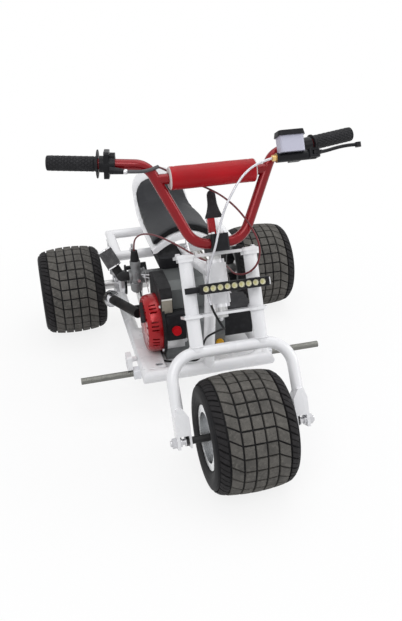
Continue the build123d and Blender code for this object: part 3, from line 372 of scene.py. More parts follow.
def casing_rubber():
    f = Finish("casing_rubber", (0.0075, 0.0075, 0.009), 0.62, spec=0.2)
    f.mottle((0.020, 0.019, 0.019), 22, 0.45, 0.75, 0.8)
    f.grain(220, 0.0002)
    return f


def seat_vinyl():
    f = Finish("seat_vinyl", (0.028, 0.029, 0.032), 0.55, spec=0.16)
    f.mottle((0.040, 0.041, 0.045), 7, 0.4, 0.7, 0.8)
    # Painted shade: the pad's flanks and its front edge, picked by which way the surface faces, are painted
    # near black to stand in for the shade that falls on the pad's sides.
    normal = f.node("ShaderNodeNewGeometry").outputs["Normal"]
    nx, _, nz = f.axes(normal)
    shaded_flank = f.ramp(f.math("ABSOLUTE", nx), 0.72, 0.86)
    front = f.math("MULTIPLY", f.ramp(nz, 0.5, 0.35), f.ramp(f.axes(f.coords)[1], 0.30, 0.24))
    f.zone(f.math("MAXIMUM", shaded_flank, front, clamp=True), (0.006, 0.006, 0.007), 0.45)
    f.bump(f.cells(900), 0.00025, 0.6)
    f.grain(2200, 0.0001)
    return f


def pad_cloth(pad_half):
    f = Finish("pad_cloth", (0.42, 0.001, 0.007), 0.42, spec=0.25)
    f.mottle((0.24, 0.001, 0.004), 9, 0.4, 0.72, 0.7)
    x = f.axes(f.coords)[0]
    ends = f.ramp(f.math("ABSOLUTE", x), pad_half - 0.0035, pad_half - 0.0025)
    f.zone(ends, (0.62, 0.56, 0.55), 0.7)
    f.bump(f.node("ShaderNodeTexWave", {"Scale": 420}, {"Vector": f.coords}).outputs["Fac"], 0.0001, 0.6)
    f.grain(1500, 0.00012)
    return f


# ---------------------------------------------------------------- meshes
def link(name, mesh, finish, body, *replaced):
    """Put a mesh in the scene as a piece of the object."""
    piece = bpy.data.objects.new(name, mesh)
    bpy.context.collection.objects.link(piece)
    if finish is not None:
        mesh.materials.append(finish.mat)
    if replaced:
        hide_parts(*replaced)
    if body:
        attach(piece, body)
    return piece


def from_lists(name, points, faces):
    mesh = bpy.data.meshes.new(name)
    mesh.from_pydata([tuple(p) for p in points], [], faces)
    mesh.validate()
    return mesh


def outward(mesh):
    bm = bmesh.new()
    bm.from_mesh(mesh)
    bmesh.ops.recalc_face_normals(bm, faces=bm.faces)
    bm.to_mesh(mesh)
    bm.free()


def smooth(mesh, angle=35):
    mesh.polygons.foreach_set("use_smooth", [True] * len(mesh.polygons))
    mesh.set_sharp_from_angle(angle=math.radians(angle))
    mesh.update()


def ring(bm, matrix, radius, along, count):
    """Corners round the z axis of a frame, at one radius or at radius(n). Metres."""
    corners = []
    for n in range(count):
        turn = TAU * n / count
        r = radius(n) if callable(radius) else radius
        corners.append(bm.verts.new(matrix @ Vector((r * math.cos(turn), r * math.sin(turn), along))))
    return corners


def skin(bm, rings, closed=False):
    """Faces from each ring of corners to the next."""
    count = len(rings[0])
    for a, b in zip(rings, rings[1:] + rings[:1] if closed else rings[1:]):
        for n in range(count):
            m = (n + 1) % count
            bm.faces.new((a[n], a[m], b[m], b[n]))


def capped(bm, rings):
    """Faces along the rings, and over the first and last ring."""
    skin(bm, rings)
    bm.faces.new(rings[0][::-1])
    bm.faces.new(rings[-1])


def turned(bm, profile, matrix, segments=48):
    """Revolve a profile of (distance along z, radius) about a frame's z axis, and cap its ends. Metres."""
    capped(bm, [ring(bm, matrix, radius, along, segments) for along, radius in profile])


def facing(place, direction, up=(0, 0, 1)):
    """A frame at a place whose z points along a direction."""
    z = Vector(direction).normalized()
    x = Vector(up).cross(z)
    if x.length < 1e-4:
        x = Vector((1, 0, 0))
    x.normalize()
    matrix = Matrix((x, z.cross(x), z)).transposed().to_4x4()
    matrix.translation = place
    return matrix


def slab(bm, size, matrix, bevel=0.0):
    """A box of a size, in the middle of a frame, with beveled edges."""
    made = bmesh.ops.create_cube(bm, size=1.0, matrix=matrix @ Matrix.Diagonal((*size, 1)))
    if bevel:
        edges = list({edge for vert in made["verts"] for edge in vert.link_edges})
        bmesh.ops.bevel(bm, geom=edges, offset=bevel, segments=2, affect="EDGES", profile=0.6)


def bolt(bm, place, direction, across_flats, height, washer=1.5, stud=0.0):
    """A hexagon head on a washer, with chamfered corners and, for a nut, the end of its stud. Sizes in mm."""
    matrix = facing(place, direction)
    r = across_flats / math.sqrt(3) * MM
    if washer:
        turned(bm, [(0, r * 1.25), (0.8 * washer * MM, r * 1.25), (washer * MM, r * 1.18)], matrix, 28)
    base = Matrix.Translation((0, 0, washer * MM))
    turned(bm, [(0, r), (height * 0.82 * MM, r), (height * MM, r * 0.84)], matrix @ base, 6)
    if stud:
        top = Matrix.Translation((0, 0, (washer + height) * MM))
        turned(bm, [(0, r * 0.5), (stud * 0.8 * MM, r * 0.5), (stud * MM, r * 0.4)], matrix @ top, 16)


def socket_screw(bm, place, direction, diameter, height):
    """A round screw head with a round socket recess, sizes in mm."""
    matrix = facing(place, direction)
    r = diameter / 2 * MM
    h = height * MM
    turned(bm, [(0, r), (h * 0.85, r), (h, r * 0.86), (h, r * 0.5), (h * 0.4, r * 0.48)], matrix, 20)


def built(name, build):
    """The mesh of a function that fills a bmesh, with its faces turned outward."""
    bm = bmesh.new()
    build(bm)
    bmesh.ops.recalc_face_normals(bm, faces=bm.faces)
    mesh = bpy.data.meshes.new(name)
    bm.to_mesh(mesh)
    bm.free()
    return mesh


def solid(name, finish, body, build, *replaced, angle=35):
    """A piece made by a function that fills a bmesh."""
    mesh = built(name, build)
    smooth(mesh, angle)
    return link(name, mesh, finish, body, *replaced)


def slab_piece(name, finish, body, size, matrix, bevel):
    return solid(name, finish, body, lambda bm: slab(bm, size, matrix, bevel))


def spoke(turn):
    """Direction square to the axles: back at no turn, and up at a quarter turn."""
    return Vector((0, math.cos(turn), math.sin(turn)))


# ---------------------------------------------------------------- tyres
tyre_radius = axle_height
tread_half = 76.4
crown_drop = 7.0
groove_depth = 6.0
groove = 4.2
tread_rows = 28
straight = 39.6               # edge of the three straight columns
slant_share = 0.62            # how far the outer columns lean round the tyre
fine_slit = 0.5 / tyre_radius
columns = (-69.0, -straight, -13.2, 13.2, straight, 69.0)


def tyre_outline():
    """Outer half profile of the tyre, from the crown to the bead, as (x, r) in millimetres."""
    crown = [(x, tyre_radius - crown_drop * (x / tread_half) ** 2) for x in np.linspace(0, tread_half, 12)]
    knots = [(tread_half, tyre_radius - crown_drop), (85.5, 129.2), (93.2, 121), (97.2, 111), (98, 103.6),
             (97, 95), (94.6, 87), (91.2, 80)]
    side = []
    for n in range(len(knots) - 1):
        a, b = knots[max(n - 1, 0)], knots[n]
        c, d = knots[n + 1], knots[min(n + 2, len(knots) - 1)]
        for t in (0.25, 0.5, 0.75, 1.0):
            side.append(tuple(0.5 * (2 * q + (r - p) * t + (2 * p - 5 * q + 4 * r - s) * t * t
                                     + (3 * q - p - 3 * r + s) * t ** 3) for p, q, r, s in zip(a, b, c, d)))
    return crown + side


def along_outline(outline):
    """Distances along the half outline, to look up places and normals."""
    points = np.array(outline)
    return points, np.concatenate(([0], np.cumsum(np.hypot(*np.diff(points, axis=0).T))))


def outline_place(points, distances, s, depth):
    """The place s along the outline from the middle (negative to the right), sunk by a depth."""
    side = 1 if s >= 0 else -1
    s = abs(s)
    (x, r), (x1, r1), (x2, r2) = ([np.interp(d, distances, points[:, n]) for n in (0, 1)]
                                  for d in (s, max(s - 0.5, 0), s + 0.5))
    dx, dr = x2 - x1, r2 - r1
    length = math.hypot(dx, dr)
    nx, nr = -dr / length, dx / length
    return side * (x - nx * depth), r - nr * depth


def ring_point(centre, x, r, turn):
    return (centre[0] + x * MM, centre[1] - r * math.sin(turn) * MM, centre[2] + r * math.cos(turn) * MM)


def tread_block(points, distances, centre, s0, s1, turn0, turn1, height, out_points, out_faces):
    """One tread block: a domed top with worn edges and sides that go down into the casing."""
    start = len(out_points)
    edge = 1.0
    across_s = [s0, s0, s0 + edge, (s0 + s1) / 2, s1 - edge, s1, s1]
    r = tyre_radius
    turns = [turn0, turn0, turn0 + edge / r, (turn0 + turn1) / 2, turn1 - edge / r, turn1, turn1]
    sink = [groove_depth + 1.5, 1.1, 0.0, -0.15, 0.0, 1.1, groove_depth + 1.5]
    for i, s in enumerate(across_s):
        for j, turn in enumerate(turns):
            depth = max(sink[i], sink[j]) if max(sink[i], sink[j]) > 0.05 else 0.0
            depth = depth + height if depth < 2 else depth
            x, rr = outline_place(points, distances, s, depth)
            slant = slant_share * math.copysign(max(abs(s) - straight, 0), s) / r
            out_points.append(ring_point(centre, x, rr, turn + slant))
    n = len(turns)
    for i in range(len(across_s) - 1):
        for j in range(n - 1):
            a = start + i * n + j
            out_faces.append((a, a + 1, a + n + 1, a + n))
    last = len(across_s) - 1
    rim = [start + j for j in range(n)]
    rim += [start + i * n + n - 1 for i in range(1, last + 1)]
    rim += [start + last * n + j for j in range(n - 2, -1, -1)]
    rim += [start + i * n for i in range(last - 1, 0, -1)]
    out_faces.append(tuple(rim))


def add_tyre(node, body, centre, seed):
    """A low wide tyre: casing with bead, sidewall steps and grooves, and rows of tread blocks."""
    points, distances = along_outline(tyre_outline())
    tread_end = 97.0
    shoulder_end = 94.0
    rng = random.Random(seed)

    def build_casing(bm):
        outer = []
        for s in np.linspace(0, distances[-1], 60):
            fade = min(max((tread_end + 2 - s) / 5, 0), 1)
            step = 0.9 if 128 < s < 131 or 143 < s < 144.5 else 0.0
            outer.append(outline_place(points, distances, s, groove_depth * fade + step))
        inner = [(89.0, 78.0), (84.6, 76.8), (84.6, 64.2), (76, 64.2),
                 (88, 95), (84, 112), (72, 122), (0, 124)]
        half = outer + inner
        segments = 120
        skin(bm, [[bm.verts.new(ring_point(centre, x, r, TAU * n / segments)) for n in range(segments)]
                  for x, r in half + [(-x, r) for x, r in half[::-1]]], closed=True)
        bmesh.ops.remove_doubles(bm, verts=bm.verts, dist=0.00005)

    def add_blocks(part, block_points, block_faces, finish):
        mesh = from_lists(node + part, block_points, block_faces)
        outward(mesh)
        smooth(mesh, 40)
        link(node + part, mesh, finish, body)

    solid(node + "_casing", casing, body, build_casing, node, angle=50)
    pitch = TAU / tread_rows
    half_groove = groove / 2 / tyre_radius
    block_points, block_faces = [], []
    for row in range(tread_rows):
        turn0, turn1 = row * pitch + half_groove, (row + 1) * pitch - half_groove
        for s0, s1 in zip(columns, columns[1:]):
            tread_block(points, distances, centre, s0 + groove / 2, s1 - groove / 2, turn0, turn1,
                        rng.uniform(-0.1, 0.25), block_points, block_faces)
    shoulder_points, shoulder_faces = [], []
    for row in range(tread_rows):
        for side in (-1, 1):
            near, far = sorted((side * (columns[-1] + groove / 2), side * shoulder_end))
            for half_row, (before, after) in enumerate(((half_groove, fine_slit), (fine_slit, half_groove))):
                turn = (row + half_row / 2) * pitch
                tread_block(points, distances, centre, near, far, turn + before, turn + pitch / 2 - after,
                            0.5 + rng.uniform(0, 0.3), shoulder_points, shoulder_faces)
    add_blocks("_shoulder", shoulder_points, shoulder_faces, shoulder_rubber)
    add_blocks("_tread", block_points, block_faces, tread)


# ---------------------------------------------------------------- cables
def line_mesh(name, radius, route):
    """Mesh of a round line on one smooth spline whose control points are the route."""
    data = bpy.data.curves.new(name, "CURVE")
    data.dimensions = "3D"
    data.bevel_depth = radius
    data.bevel_resolution = 4
    data.resolution_u = 10
    data.use_fill_caps = True
    spline = data.splines.new("NURBS")
    spline.points.add(len(route) - 1)
    for point, place in zip(spline.points, route):
        point.co = (*place, 1)
    spline.order_u = 3
    spline.use_endpoint_u = True
    curve = bpy.data.objects.new(name + "_line", data)
    mesh = bpy.data.meshes.new_from_object(curve)
    bpy.data.objects.remove(curve)
    smooth(mesh, 60)
    mesh.materials.clear()
    return mesh


def add_cable(name, finish, radius, route, start, end, *replaced):
    """A cable on one fixed route from points on the steering to points on the frame, on neither body."""
    piece = link(name, line_mesh(name, radius, route), finish, None, *replaced)
    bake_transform(piece)
    return piece


def cable_tube(name, finish, radius, route):
    """A sleeve that stays with the steering."""
    link(name, line_mesh(name, radius, route), finish, "steering")


# ---------------------------------------------------------------- seat
def clamped_spline(knots, first, last, samples):
    """Cubic spline through points with given end directions, sampled evenly in its parameter."""
    p = np.array(knots, float)
    h = np.hypot(*np.diff(p, axis=0).T)
    n = len(p)
    a = np.zeros((n, n))
    b = np.zeros((n, 2))
    a[0, 0] = a[-1, -1] = 1
    b[0] = np.array(first) / np.hypot(*first)
    b[-1] = np.array(last) / np.hypot(*last)
    for k in range(1, n - 1):
        a[k, k - 1], a[k, k], a[k, k + 1] = h[k], 2 * (h[k - 1] + h[k]), h[k - 1]
        b[k] = 3 * (h[k] / h[k - 1] * (p[k] - p[k - 1]) + h[k - 1] / h[k] * (p[k + 1] - p[k]))
    m = np.linalg.solve(a, b)
    at = np.concatenate(([0], np.cumsum(h)))
    out = []
    for u in np.linspace(0, at[-1], samples):
        k = min(int(np.searchsorted(at, u, side="right")) - 1, n - 2)
        t = (u - at[k]) / h[k]
        out.append((2 * t ** 3 - 3 * t * t + 1) * p[k] + (t ** 3 - 2 * t * t + t) * h[k] * m[k]
                   + (3 * t * t - 2 * t ** 3) * p[k + 1] + (t ** 3 - t * t) * h[k] * m[k + 1])
    return np.array(out)


seat_edge = clamped_spline([(112, 375), (222, 370), (332, 378), (412, 405), (446, 454), (470, 508)],
                           (1, -0.08), (0.42, 1), 90)
seat_length = np.concatenate(([0], np.cumsum(np.hypot(*np.diff(seat_edge, axis=0).T))))
seat_turn = np.gradient(seat_edge, axis=0)
seat_turn /= np.hypot(*seat_turn.T)[:, None]


seat_half = 95.0
seat_taper = 14.0             # how much narrower each side is at the back
seat_skew = 12.0              # how far the back leans to the right
seat_crown = 42.0


def seat_sheet(low, high, start, end, corner, inset, rows=64, columns=32):
    """Closed sheet along the seat, between two heights square to it, with round top corners."""
    points = []
    total = seat_length[-1]
    for level in (low, high):
        for r in range(rows + 1):
            d = start + (end - start) * r / rows
            place = [np.interp(d, seat_length, seat_edge[:, k]) for k in (0, 1)]
            ty, tz = (np.interp(d, seat_length, seat_turn[:, k]) for k in (0, 1))
            t = d / total
            rise = seat_crown * (1 - t * t * (3 - 2 * t)) + 2
            back = max(0.0, min(1.0, (t - 0.35) / 0.6))
            back = back * back * (3 - 2 * back)
            half = seat_half - seat_taper * back - inset
            left = end - d
            if left < corner:
                half -= corner - math.sqrt(max(corner ** 2 - (corner - left) ** 2, 0))
            for c in range(columns + 1):
                u = -math.cos(math.pi * c / columns) * 0.35 + (2 * c / columns - 1) * 0.65
                up = level + rise * (1 - (u * half / seat_half) ** 2)
                points.append(mm(u * half - seat_skew * back, place[0] - tz * up, place[1] + ty * up))
    faces = []
    wide = columns + 1
    layer = (rows + 1) * wide
    for r in range(rows):
        for c in range(columns):
            a = r * wide + c
            faces.append((a, a + wide, a + wide + 1, a + 1))
            faces.append((layer + a, layer + a + 1, layer + a + wide + 1, layer + a + wide))
    rim = ([c for c in range(columns)] + [r * wide + columns for r in range(rows)]
           + [rows * wide + c for c in range(columns, 0, -1)] + [r * wide for r in range(rows, 0, -1)])
    for a, b in zip(rim, rim[1:] + rim[:1]):
        faces.append((a, b, layer + b, layer + a))
    return points, faces


def settled(obj):
    """The object's mesh with its modifiers applied."""
    graph = bpy.context.evaluated_depsgraph_get()
    mesh = bpy.data.meshes.new_from_object(obj.evaluated_get(graph))
    obj.modifiers.clear()
    return mesh


cloth_frames = 20


def puffed(name, points, faces, voxel, pressure, cap):
    """Padded shape: remeshed, blown up as cloth, held within a cap, and subdivided once."""
    mesh = from_lists(name, points, faces)
    outward(mesh)
    obj = bpy.data.objects.new(name, mesh)
    bpy.context.collection.objects.link(obj)
    remesh = obj.modifiers.new("remesh", "REMESH")
    remesh.mode = "VOXEL"
    remesh.voxel_size = voxel
    rest = settled(obj)
    obj.data = rest
    start = np.empty(len(rest.vertices) * 3)
    rest.vertices.foreach_get("co", start)
    cloth = obj.modifiers.new("cloth", "CLOTH")
    cloth.settings.use_pressure = True
    cloth.settings.uniform_pressure_force = pressure
    cloth.settings.effector_weights.gravity = 0
    cloth.point_cache.frame_start, cloth.point_cache.frame_end = 1, cloth_frames
    for step in range(1, cloth_frames + 1):
        bpy.context.scene.frame_set(step)
        bpy.context.view_layer.update()
    blown = settled(obj)
    end = np.empty(len(blown.vertices) * 3)
    blown.vertices.foreach_get("co", end)
    move = (end - start).reshape(-1, 3)
    size = np.linalg.norm(move, axis=1)[:, None]
    move *= np.minimum(1, cap / np.maximum(size, 1e-9))
    blown.vertices.foreach_set("co", (start.reshape(-1, 3) + move).ravel())
    obj.data = blown
    bpy.context.scene.frame_set(1)
    obj.modifiers.new("smooth", "SMOOTH").iterations = 4
    obj.modifiers.new("subdivide", "SUBSURF").levels = 1
    final = settled(obj)
    bpy.data.objects.remove(obj)
    smooth(final, 60)
    final.name = name
    return final


def add_seat(shell_finish, pad_finish):
    total = seat_length[-1]
    points, faces = seat_sheet(0.0, 5.0, 0.5, total - 4, 58, 0)
    shell = from_lists("seat_shell_body", points, faces)
    outward(shell)
    smooth(shell, 45)
    link("seat_shell_body", shell, shell_finish, "frame", "seat_shell")

    def front_wall(bm):
        """An arched wall: four corners a step, across the seat's front."""
        sections = []
        for u in np.linspace(-1, 1, 33):
            top = 375.5 + 43.0 * (1 - u * u)
            low = 369.5 + 34.0 * max(0, 1 - (u * 1.12) ** 2)
            corners = ((112.6, top), (117.0, top), (117.0, low), (112.6, low))
            sections.append([bm.verts.new(mm(seat_half * u, y, z)) for y, z in corners])
        capped(bm, sections)

    solid("seat_shell_front", shell_finish, "frame", front_wall)
    points, faces = seat_sheet(7.0, 23.5, 4.0, total - 30, 60, 4.0)
    pad = link("seat_cushion", puffed("seat_cushion", points, faces, 0.005, 4.0, 0.005), pad_finish,
               "frame", "seat_pad")


# ---------------------------------------------------------------- bar pad and grips
def add_bar_pad(finish):
    low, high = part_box("bar_pad")
    middle = (Vector(low) + Vector(high)) / 2
    half = (high[0] - low[0]) / 2
    radius = (high[2] - low[2]) / 2 - 0.0004
    edge, bore = 0.004, 0.0125
    around, steps = 64, 60

    def cloth_radius(r, along):
        """The radius at each corner: slightly uneven cloth with a shallow groove near each end."""
        def at_corner(n):
            turn = TAU * n / around
            wave = noise.noise(Vector((along * 26, math.cos(turn) * 1.3, math.sin(turn) * 1.3)))
            lip = abs(abs(along) - (half - 0.014))
            return r + 0.00055 * wave - 0.0007 * max(0, 1 - lip / 0.003)
        return at_corner if r > radius - 0.001 else r

    def build(bm):
        profile = [(-half, bore), (-half, radius - edge)]
        profile += [(-half + edge * (1 - math.cos(a)), radius - edge + edge * math.sin(a))
                    for a in np.linspace(0.3, math.pi / 2, 4)]
        profile += [(-half + edge + (2 * half - 2 * edge) * n / steps, radius) for n in range(1, steps)]
        profile += [(-x, r) for x, r in profile[:6][::-1]]
        matrix = facing(middle, (1, 0, 0))
        rings = [ring(bm, matrix, cloth_radius(r, along), along, around) for along, r in profile]
        skin(bm, rings, closed=True)

    pad = solid("bar_pad_sleeve", finish, "steering", build, "bar_pad", angle=40)


def tube_axis(node):
    """Start, end and direction of a straight round node, from its vertices."""
    co = np.array([v.co for v in nodes[node].data.vertices])
    middle = co.mean(axis=0)
    axis = np.linalg.svd(co - middle, full_matrices=False)[2][0]
    if axis[0] < 0:
        axis = -axis
    return Vector(middle), Vector(axis), (co - middle) @ axis


def knurl_height(n, along, around):
    """Height of diamond knurling, in metres."""
    u, v = 12 * n / around, along / 0.0125
    ridge = min(abs(2 * (w - math.floor(w + 0.5))) for w in (u + v, u - v))
    return 0.0015 * min(1.0, 2.2 * ridge)


def add_grip(node, flange, thick, outboard, finish):
    """A diamond-knurled rubber grip with plain collars and a flange at its inner end. Metres."""
    middle, axis, spread = tube_axis(node)
    axis = axis * outboard
    matrix = facing(middle + axis * (outboard * spread).max(), -axis)
    length, core, collar, around = 0.112, 0.0152, 0.0165, 84
    outer = [(0.0, 0.008), (0.0, 0.0142), (0.0014, 0.0162), (0.004, 0.0162), (0.0044, core)]
    inner = [(length - 0.0075, core), (length - 0.007, collar), (length - thick - 0.0006, collar),
             (length - thick, flange - 0.001), (length - thick + 0.0006, flange), (length - 0.0004, flange),
             (length, flange - 0.0006), (length, 0.0128), (0.006, 0.0124), (0.006, 0.008)]

    def build(bm):
        rings = [ring(bm, matrix, r, along, around) for along, r in outer]
        for along in (0.0048 + 0.00092 * n for n in range(107)):
            rings.append(ring(bm, matrix, lambda n: core + knurl_height(n, along, around), along, around))
        capped(bm, rings + [ring(bm, matrix, r, along, around) for along, r in inner])

    solid(node + "_knurled", finish, "steering", build, node, angle=30)


# ---------------------------------------------------------------- cutting
def carved(name, build, cut, finish, body, *replaced, angle=35):
    """A piece with true holes: one shape with another taken away from it."""
    shapes = []
    for part in (build, cut):
        obj = bpy.data.objects.new(name + "_shape", built(name, part))
        bpy.context.collection.objects.link(obj)
        shapes.append(obj)
    boolean = shapes[0].modifiers.new("cut", "BOOLEAN")
    boolean.operation = "DIFFERENCE"
    boolean.solver = "EXACT"
    boolean.use_self = True
    boolean.object = shapes[1]
    bpy.context.view_layer.update()
    mesh = settled(shapes[0])
    for obj in shapes:
        bpy.data.objects.remove(obj)
    smooth(mesh, angle)
    return link(name, mesh, finish, body, *replaced)


# ---------------------------------------------------------------- engine
crank = mm(0, 0, crank_height)


def add_recoil(finish):
    """Recoil cover: domed red drum with slots round its face and through its rim."""
    def build(bm):
        turned(bm, [(0, 0.0800), (0.006, 0.0800), (0.022, 0.0790), (0.0335, 0.0762), (0.0388, 0.0705),
                    (0.0398, 0.060), (0.0398, 0.034), (0.0412, 0.031)],
               facing(mm(-112.4, 0, crank_height), (-1, 0, 0)), 96)

    def slot(bm, turn, x, reach, size, bevel):
        out = spoke(turn)
        matrix = Matrix((steer_x, out, steer_x.cross(out))).transposed().to_4x4()
        matrix.translation = crank + Vector((x, 0, 0)) + out * reach
        slab(bm, size, matrix, bevel)

    def cut(bm):
        for n in range(20):
            slot(bm, TAU * n / 20, -0.150, 0.063, (0.024, 0.017, 0.0050), 0.0016)
        for group in (-12.5, -48, 23):
            for n in range(3):
                slot(bm, math.radians(group - 8 * n) + math.pi, -0.132, 0.079, (0.019, 0.022, 0.0042), 0.0014)

    carved("recoil_cover", build, cut, finish, "frame", "recoil_starter")


def add_recoil_screen(finish):
    matrix = facing(mm(-113.5, 0, crank_height), (-1, 0, 0))
    solid("recoil_screen", finish, "frame", lambda bm: turned(bm, [(0, 0.066), (0.022, 0.066)], matrix, 64))


def add_cylinder(finish):
    """Finned cylinder and head along the tilted bore."""
    tilt = math.radians(25)
    matrix = facing(mm(-10, 0, crank_height), spoke(tilt), up=(0, -math.sin(tilt), math.cos(tilt)))
    fin_count, head_fins, fin_pitch = 12, 3, 0.0082

    def at(x, y, z):
        return matrix @ Matrix.Translation((x, y, z))

    def build(bm):
        for n in range(fin_count):
            wide = 0.085 if n < fin_count - head_fins else 0.080
            slab(bm, (wide, wide, 0.0034), at(0, 0, 0.0758 + n * fin_pitch), 0.0008)
        turned(bm, [(0, 0.036), (0.098, 0.036)], at(0, 0, 0.070), 40)
        slab(bm, (0.030, 0.052, 0.020), at(0.024, -0.01, 0.157), 0.003)

    solid("cylinder_fins", finish, "frame", build, "cylinder")


def add_filter(pleat_finish, end_finish):
    """Pleated air filter cone between two bright end rings."""
    foot, tip = mm(-195, 200, 305), mm(-217, 220, 348)
    matrix = facing(foot + (tip - foot).normalized() * 0.0001, tip - foot)
    outer, pleat_depth = 0.0212, 0.0022

    def pleats(bm):
        rings = []
        for along, inset in ((0.005, 0.001), (0.006, 0), (0.056, 0), (0.057, 0.001)):
            crest, valley = outer - inset, outer - inset - pleat_depth
            rings.append(ring(bm, matrix, lambda n: valley if n % 4 > 1 else crest, along, 120))
        capped(bm, rings)

    def ends(bm):
        turned(bm, [(0, 0.017), (0.001, 0.0218), (0.0048, 0.0218), (0.0052, 0.0195)], matrix, 56)
        turned(bm, [(0.0548, 0.0195), (0.0552, 0.0218), (0.059, 0.0215), (0.060, 0.0195)], matrix, 56)

    solid("filter_pleats", pleat_finish, "frame", pleats, "air_filter", angle=20)
    solid("filter_rings", end_finish, "frame", ends)


# ---------------------------------------------------------------- light bar
def add_light_bar(body_finish, cup_finish, lens_finish):
    """LED bar: finned housing with a recess and a row of reflector cups, on a back strip and two brackets."""
    bar = Matrix((steer_x, steer_z, -steer_y)).transposed().to_4x4()
    bar.translation = local(20, -56, -78)
    cup_places = [(n - 4) * 16.8 for n in range(9)]
    cup_profile = ((0.0132, 0.0026), (0.0145, 0.0049), (0.0170, 0.0068), (0.01935, 0.0079))
    fin_places = [(n - 12.5) * 6.0 for n in range(26)]

    def at(x, y, z):
        return bar @ Matrix.Translation((x * MM, y * MM, z * MM))

    def build(bm):
        slab(bm, (0.164, 0.0228, 0.0218), at(0, 0, 10.9), 0.002)

    def cut(bm):
        slab(bm, (0.154, 0.0165, 0.0052), at(0, 0, 21.8), 0.001)
        for x in cup_places:
            turned(bm, [(0, 0.0050), (0.0075, 0.0080)], at(x, 0, 12.6), 28)

    def cups(bm):
        for x in cup_places:
            rings = [ring(bm, at(x, 0, 0), r, along, 24) for along, r in cup_profile]
            skin(bm, rings)
            bm.faces.new(rings[0])

    def chips(bm):
        for x in cup_places:
            slab(bm, (0.0056, 0.0056, 0.0012), at(x, 0, 14.2), 0.0003)

    def back(bm):
        slab(bm, (0.2, 0.014, 0.003), at(-13, 0, -1.6), 0.0006)
        for side in (-1, 1):
            slab(bm, (0.014, 0.014, 0.0068), at(side * fork_tube_x - 20, 0, -6.5), 0.0008)
        for x in fin_places:
            slab(bm, (0.0022, 0.0205, 0.0028), at(x, 0, -1.8), 0.0003)

    carved("light_bar_body", build, cut, body_finish, "steering", "light_bar")
    solid("light_reflectors", cup_finish, "steering", cups)
    solid("light_chips", lens_finish, "steering", chips)
    solid("light_bar_back", body_finish, "steering", back)
    slab_piece("light_bar_tab", white, "steering", (0.0025, 0.017, 0.020), at(85, 0, 6), 0.0005)


# ---------------------------------------------------------------- upright lever beside the clamp
def add_upright_lever(paddle_finish, block_finish):
    outline = [(85, 22), (90, 21), (95, 18.5), (100, 16.5), (105, 15), (111, 13.2), (118, 11.8), (126, 11.2),
               (134, 11), (141, 10.6), (146, 8.6), (149.5, 5.4), (151, 1.5)]
    thick = 4.6

    def paddle(bm):
        rings = []
        for z, half in outline:
            corners = []
            for turn in (TAU * n / 24 for n in range(24)):
                x = math.copysign(abs(math.cos(turn)) ** 0.7, math.cos(turn)) * half
                y = math.copysign(abs(math.sin(turn)) ** 0.8, math.sin(turn)) * thick
                corners.append(bm.verts.new(local(13 + x, 10 + y, z)))
            rings.append(corners)
        capped(bm, rings)

    def block(bm):
        slab(bm, (0.018, 0.014, 0.042), steering @ Matrix.Translation(mm(4, 10, 64)), 0.002)
        slab(bm, (0.010, 0.016, 0.030), steering @ Matrix.Translation(mm(4, 10, 60)), 0.001)

    solid("upright_lever", paddle_finish, "steering", paddle, angle=50)
    solid("lever_block", block_finish, "steering", block)


# ---------------------------------------------------------------- finishes of the CAD nodes
def finish_node(finish, *names):
    for name in names:
        mesh = nodes[name].data
        mesh.materials.clear()
        mesh.materials.append(finish.mat)


white = white_paint()
red = red_paint()
dark = black_metal()
dark_plastic = black_metal("dark_plastic", (0.014, 0.014, 0.016), 0.48)
clamp_black = black_metal("clamp_black", (0.010, 0.010, 0.012), 0.30)
engine_alloy = cast_metal("engine_alloy", (0.15, 0.158, 0.16), 0.5, 0.3)
carb_alloy = cast_metal("carb_alloy", (0.22, 0.225, 0.23), 0.42, 0.35)
steel = bright_metal("steel", (0.55, 0.55, 0.55), 0.28, (1, 8, 8))
zinc = bright_metal("zinc", (0.66, 0.66, 0.68), 0.30)
chrome = bright_metal("chrome", (0.82, 0.82, 0.84), 0.08)
chain_steel = bright_metal("chain_steel", (0.30, 0.28, 0.25), 0.38)
rubber = black_rubber()
grip_rubber = black_rubber("grip_black", (0.014, 0.014, 0.016), 0.5)
yellow = Finish("cap_yellow", (0.80, 0.42, 0.02), 0.4)
yellow.mottle((0.62, 0.30, 0.01), 80, strength=0.6)
yellow.grain(700, 0.0002)
recoil_red = red_paint("recoil_red", (0.36, 0.002, 0.006))
tread = tread_rubber()
shoulder_rubber = black_rubber("shoulder_rubber", (0.017, 0.016, 0.017), 0.7)
casing = casing_rubber()

finish_node(white, "lower_frame", "head_tube", "down_tube", "backbone", "rear_loop", "rear_upright_left",
            "rear_upright_right", "front_fork", "top_plate", "lower_plate", "seat_bracket", "seat_stays",
            "brake_pedal", "engine_plate")
finish_node(red, "handlebar")
finish_node(clamp_black, "handlebar_clamp", "throttle_housing", "brake_lever")
finish_node(dark, "brake_caliper")
finish_node(dark_plastic, "clutch_cover", "fuel_tank")
finish_node(zinc, "head_bearings", "axle_bearings")
finish_node(rubber, "intake_elbow", "carburettor_boot")
finish_node(engine_alloy, "crankcase")
finish_node(chain_steel, "chain")
finish_node(steel, "rear_axle_shaft", "rear_sprocket", "brake_disc", "clutch", "steering_stem")
finish_node(yellow, "oil_cap")


def axle_finish():
    f = bright_metal("front_axle_steel", (0.60, 0.60, 0.62), 0.26, (8, 1, 1))
    f.zone(f.box((-137, None, None), (137, None, None)), (0.008, 0.008, 0.009), 0.5)
    f.zone(f.box((-170, None, None), (-159.5, None, None)), (0.62, 0.62, 0.64), 0.3)
    return f


def front_rim_finish():
    f = bright_metal("front_rim_metal", (0.80, 0.81, 0.82), 0.17, (10, 1, 1))
    f.mottle((0.28, 0.28, 0.29), 24, 0.55, 0.7, 0.6)
    return f


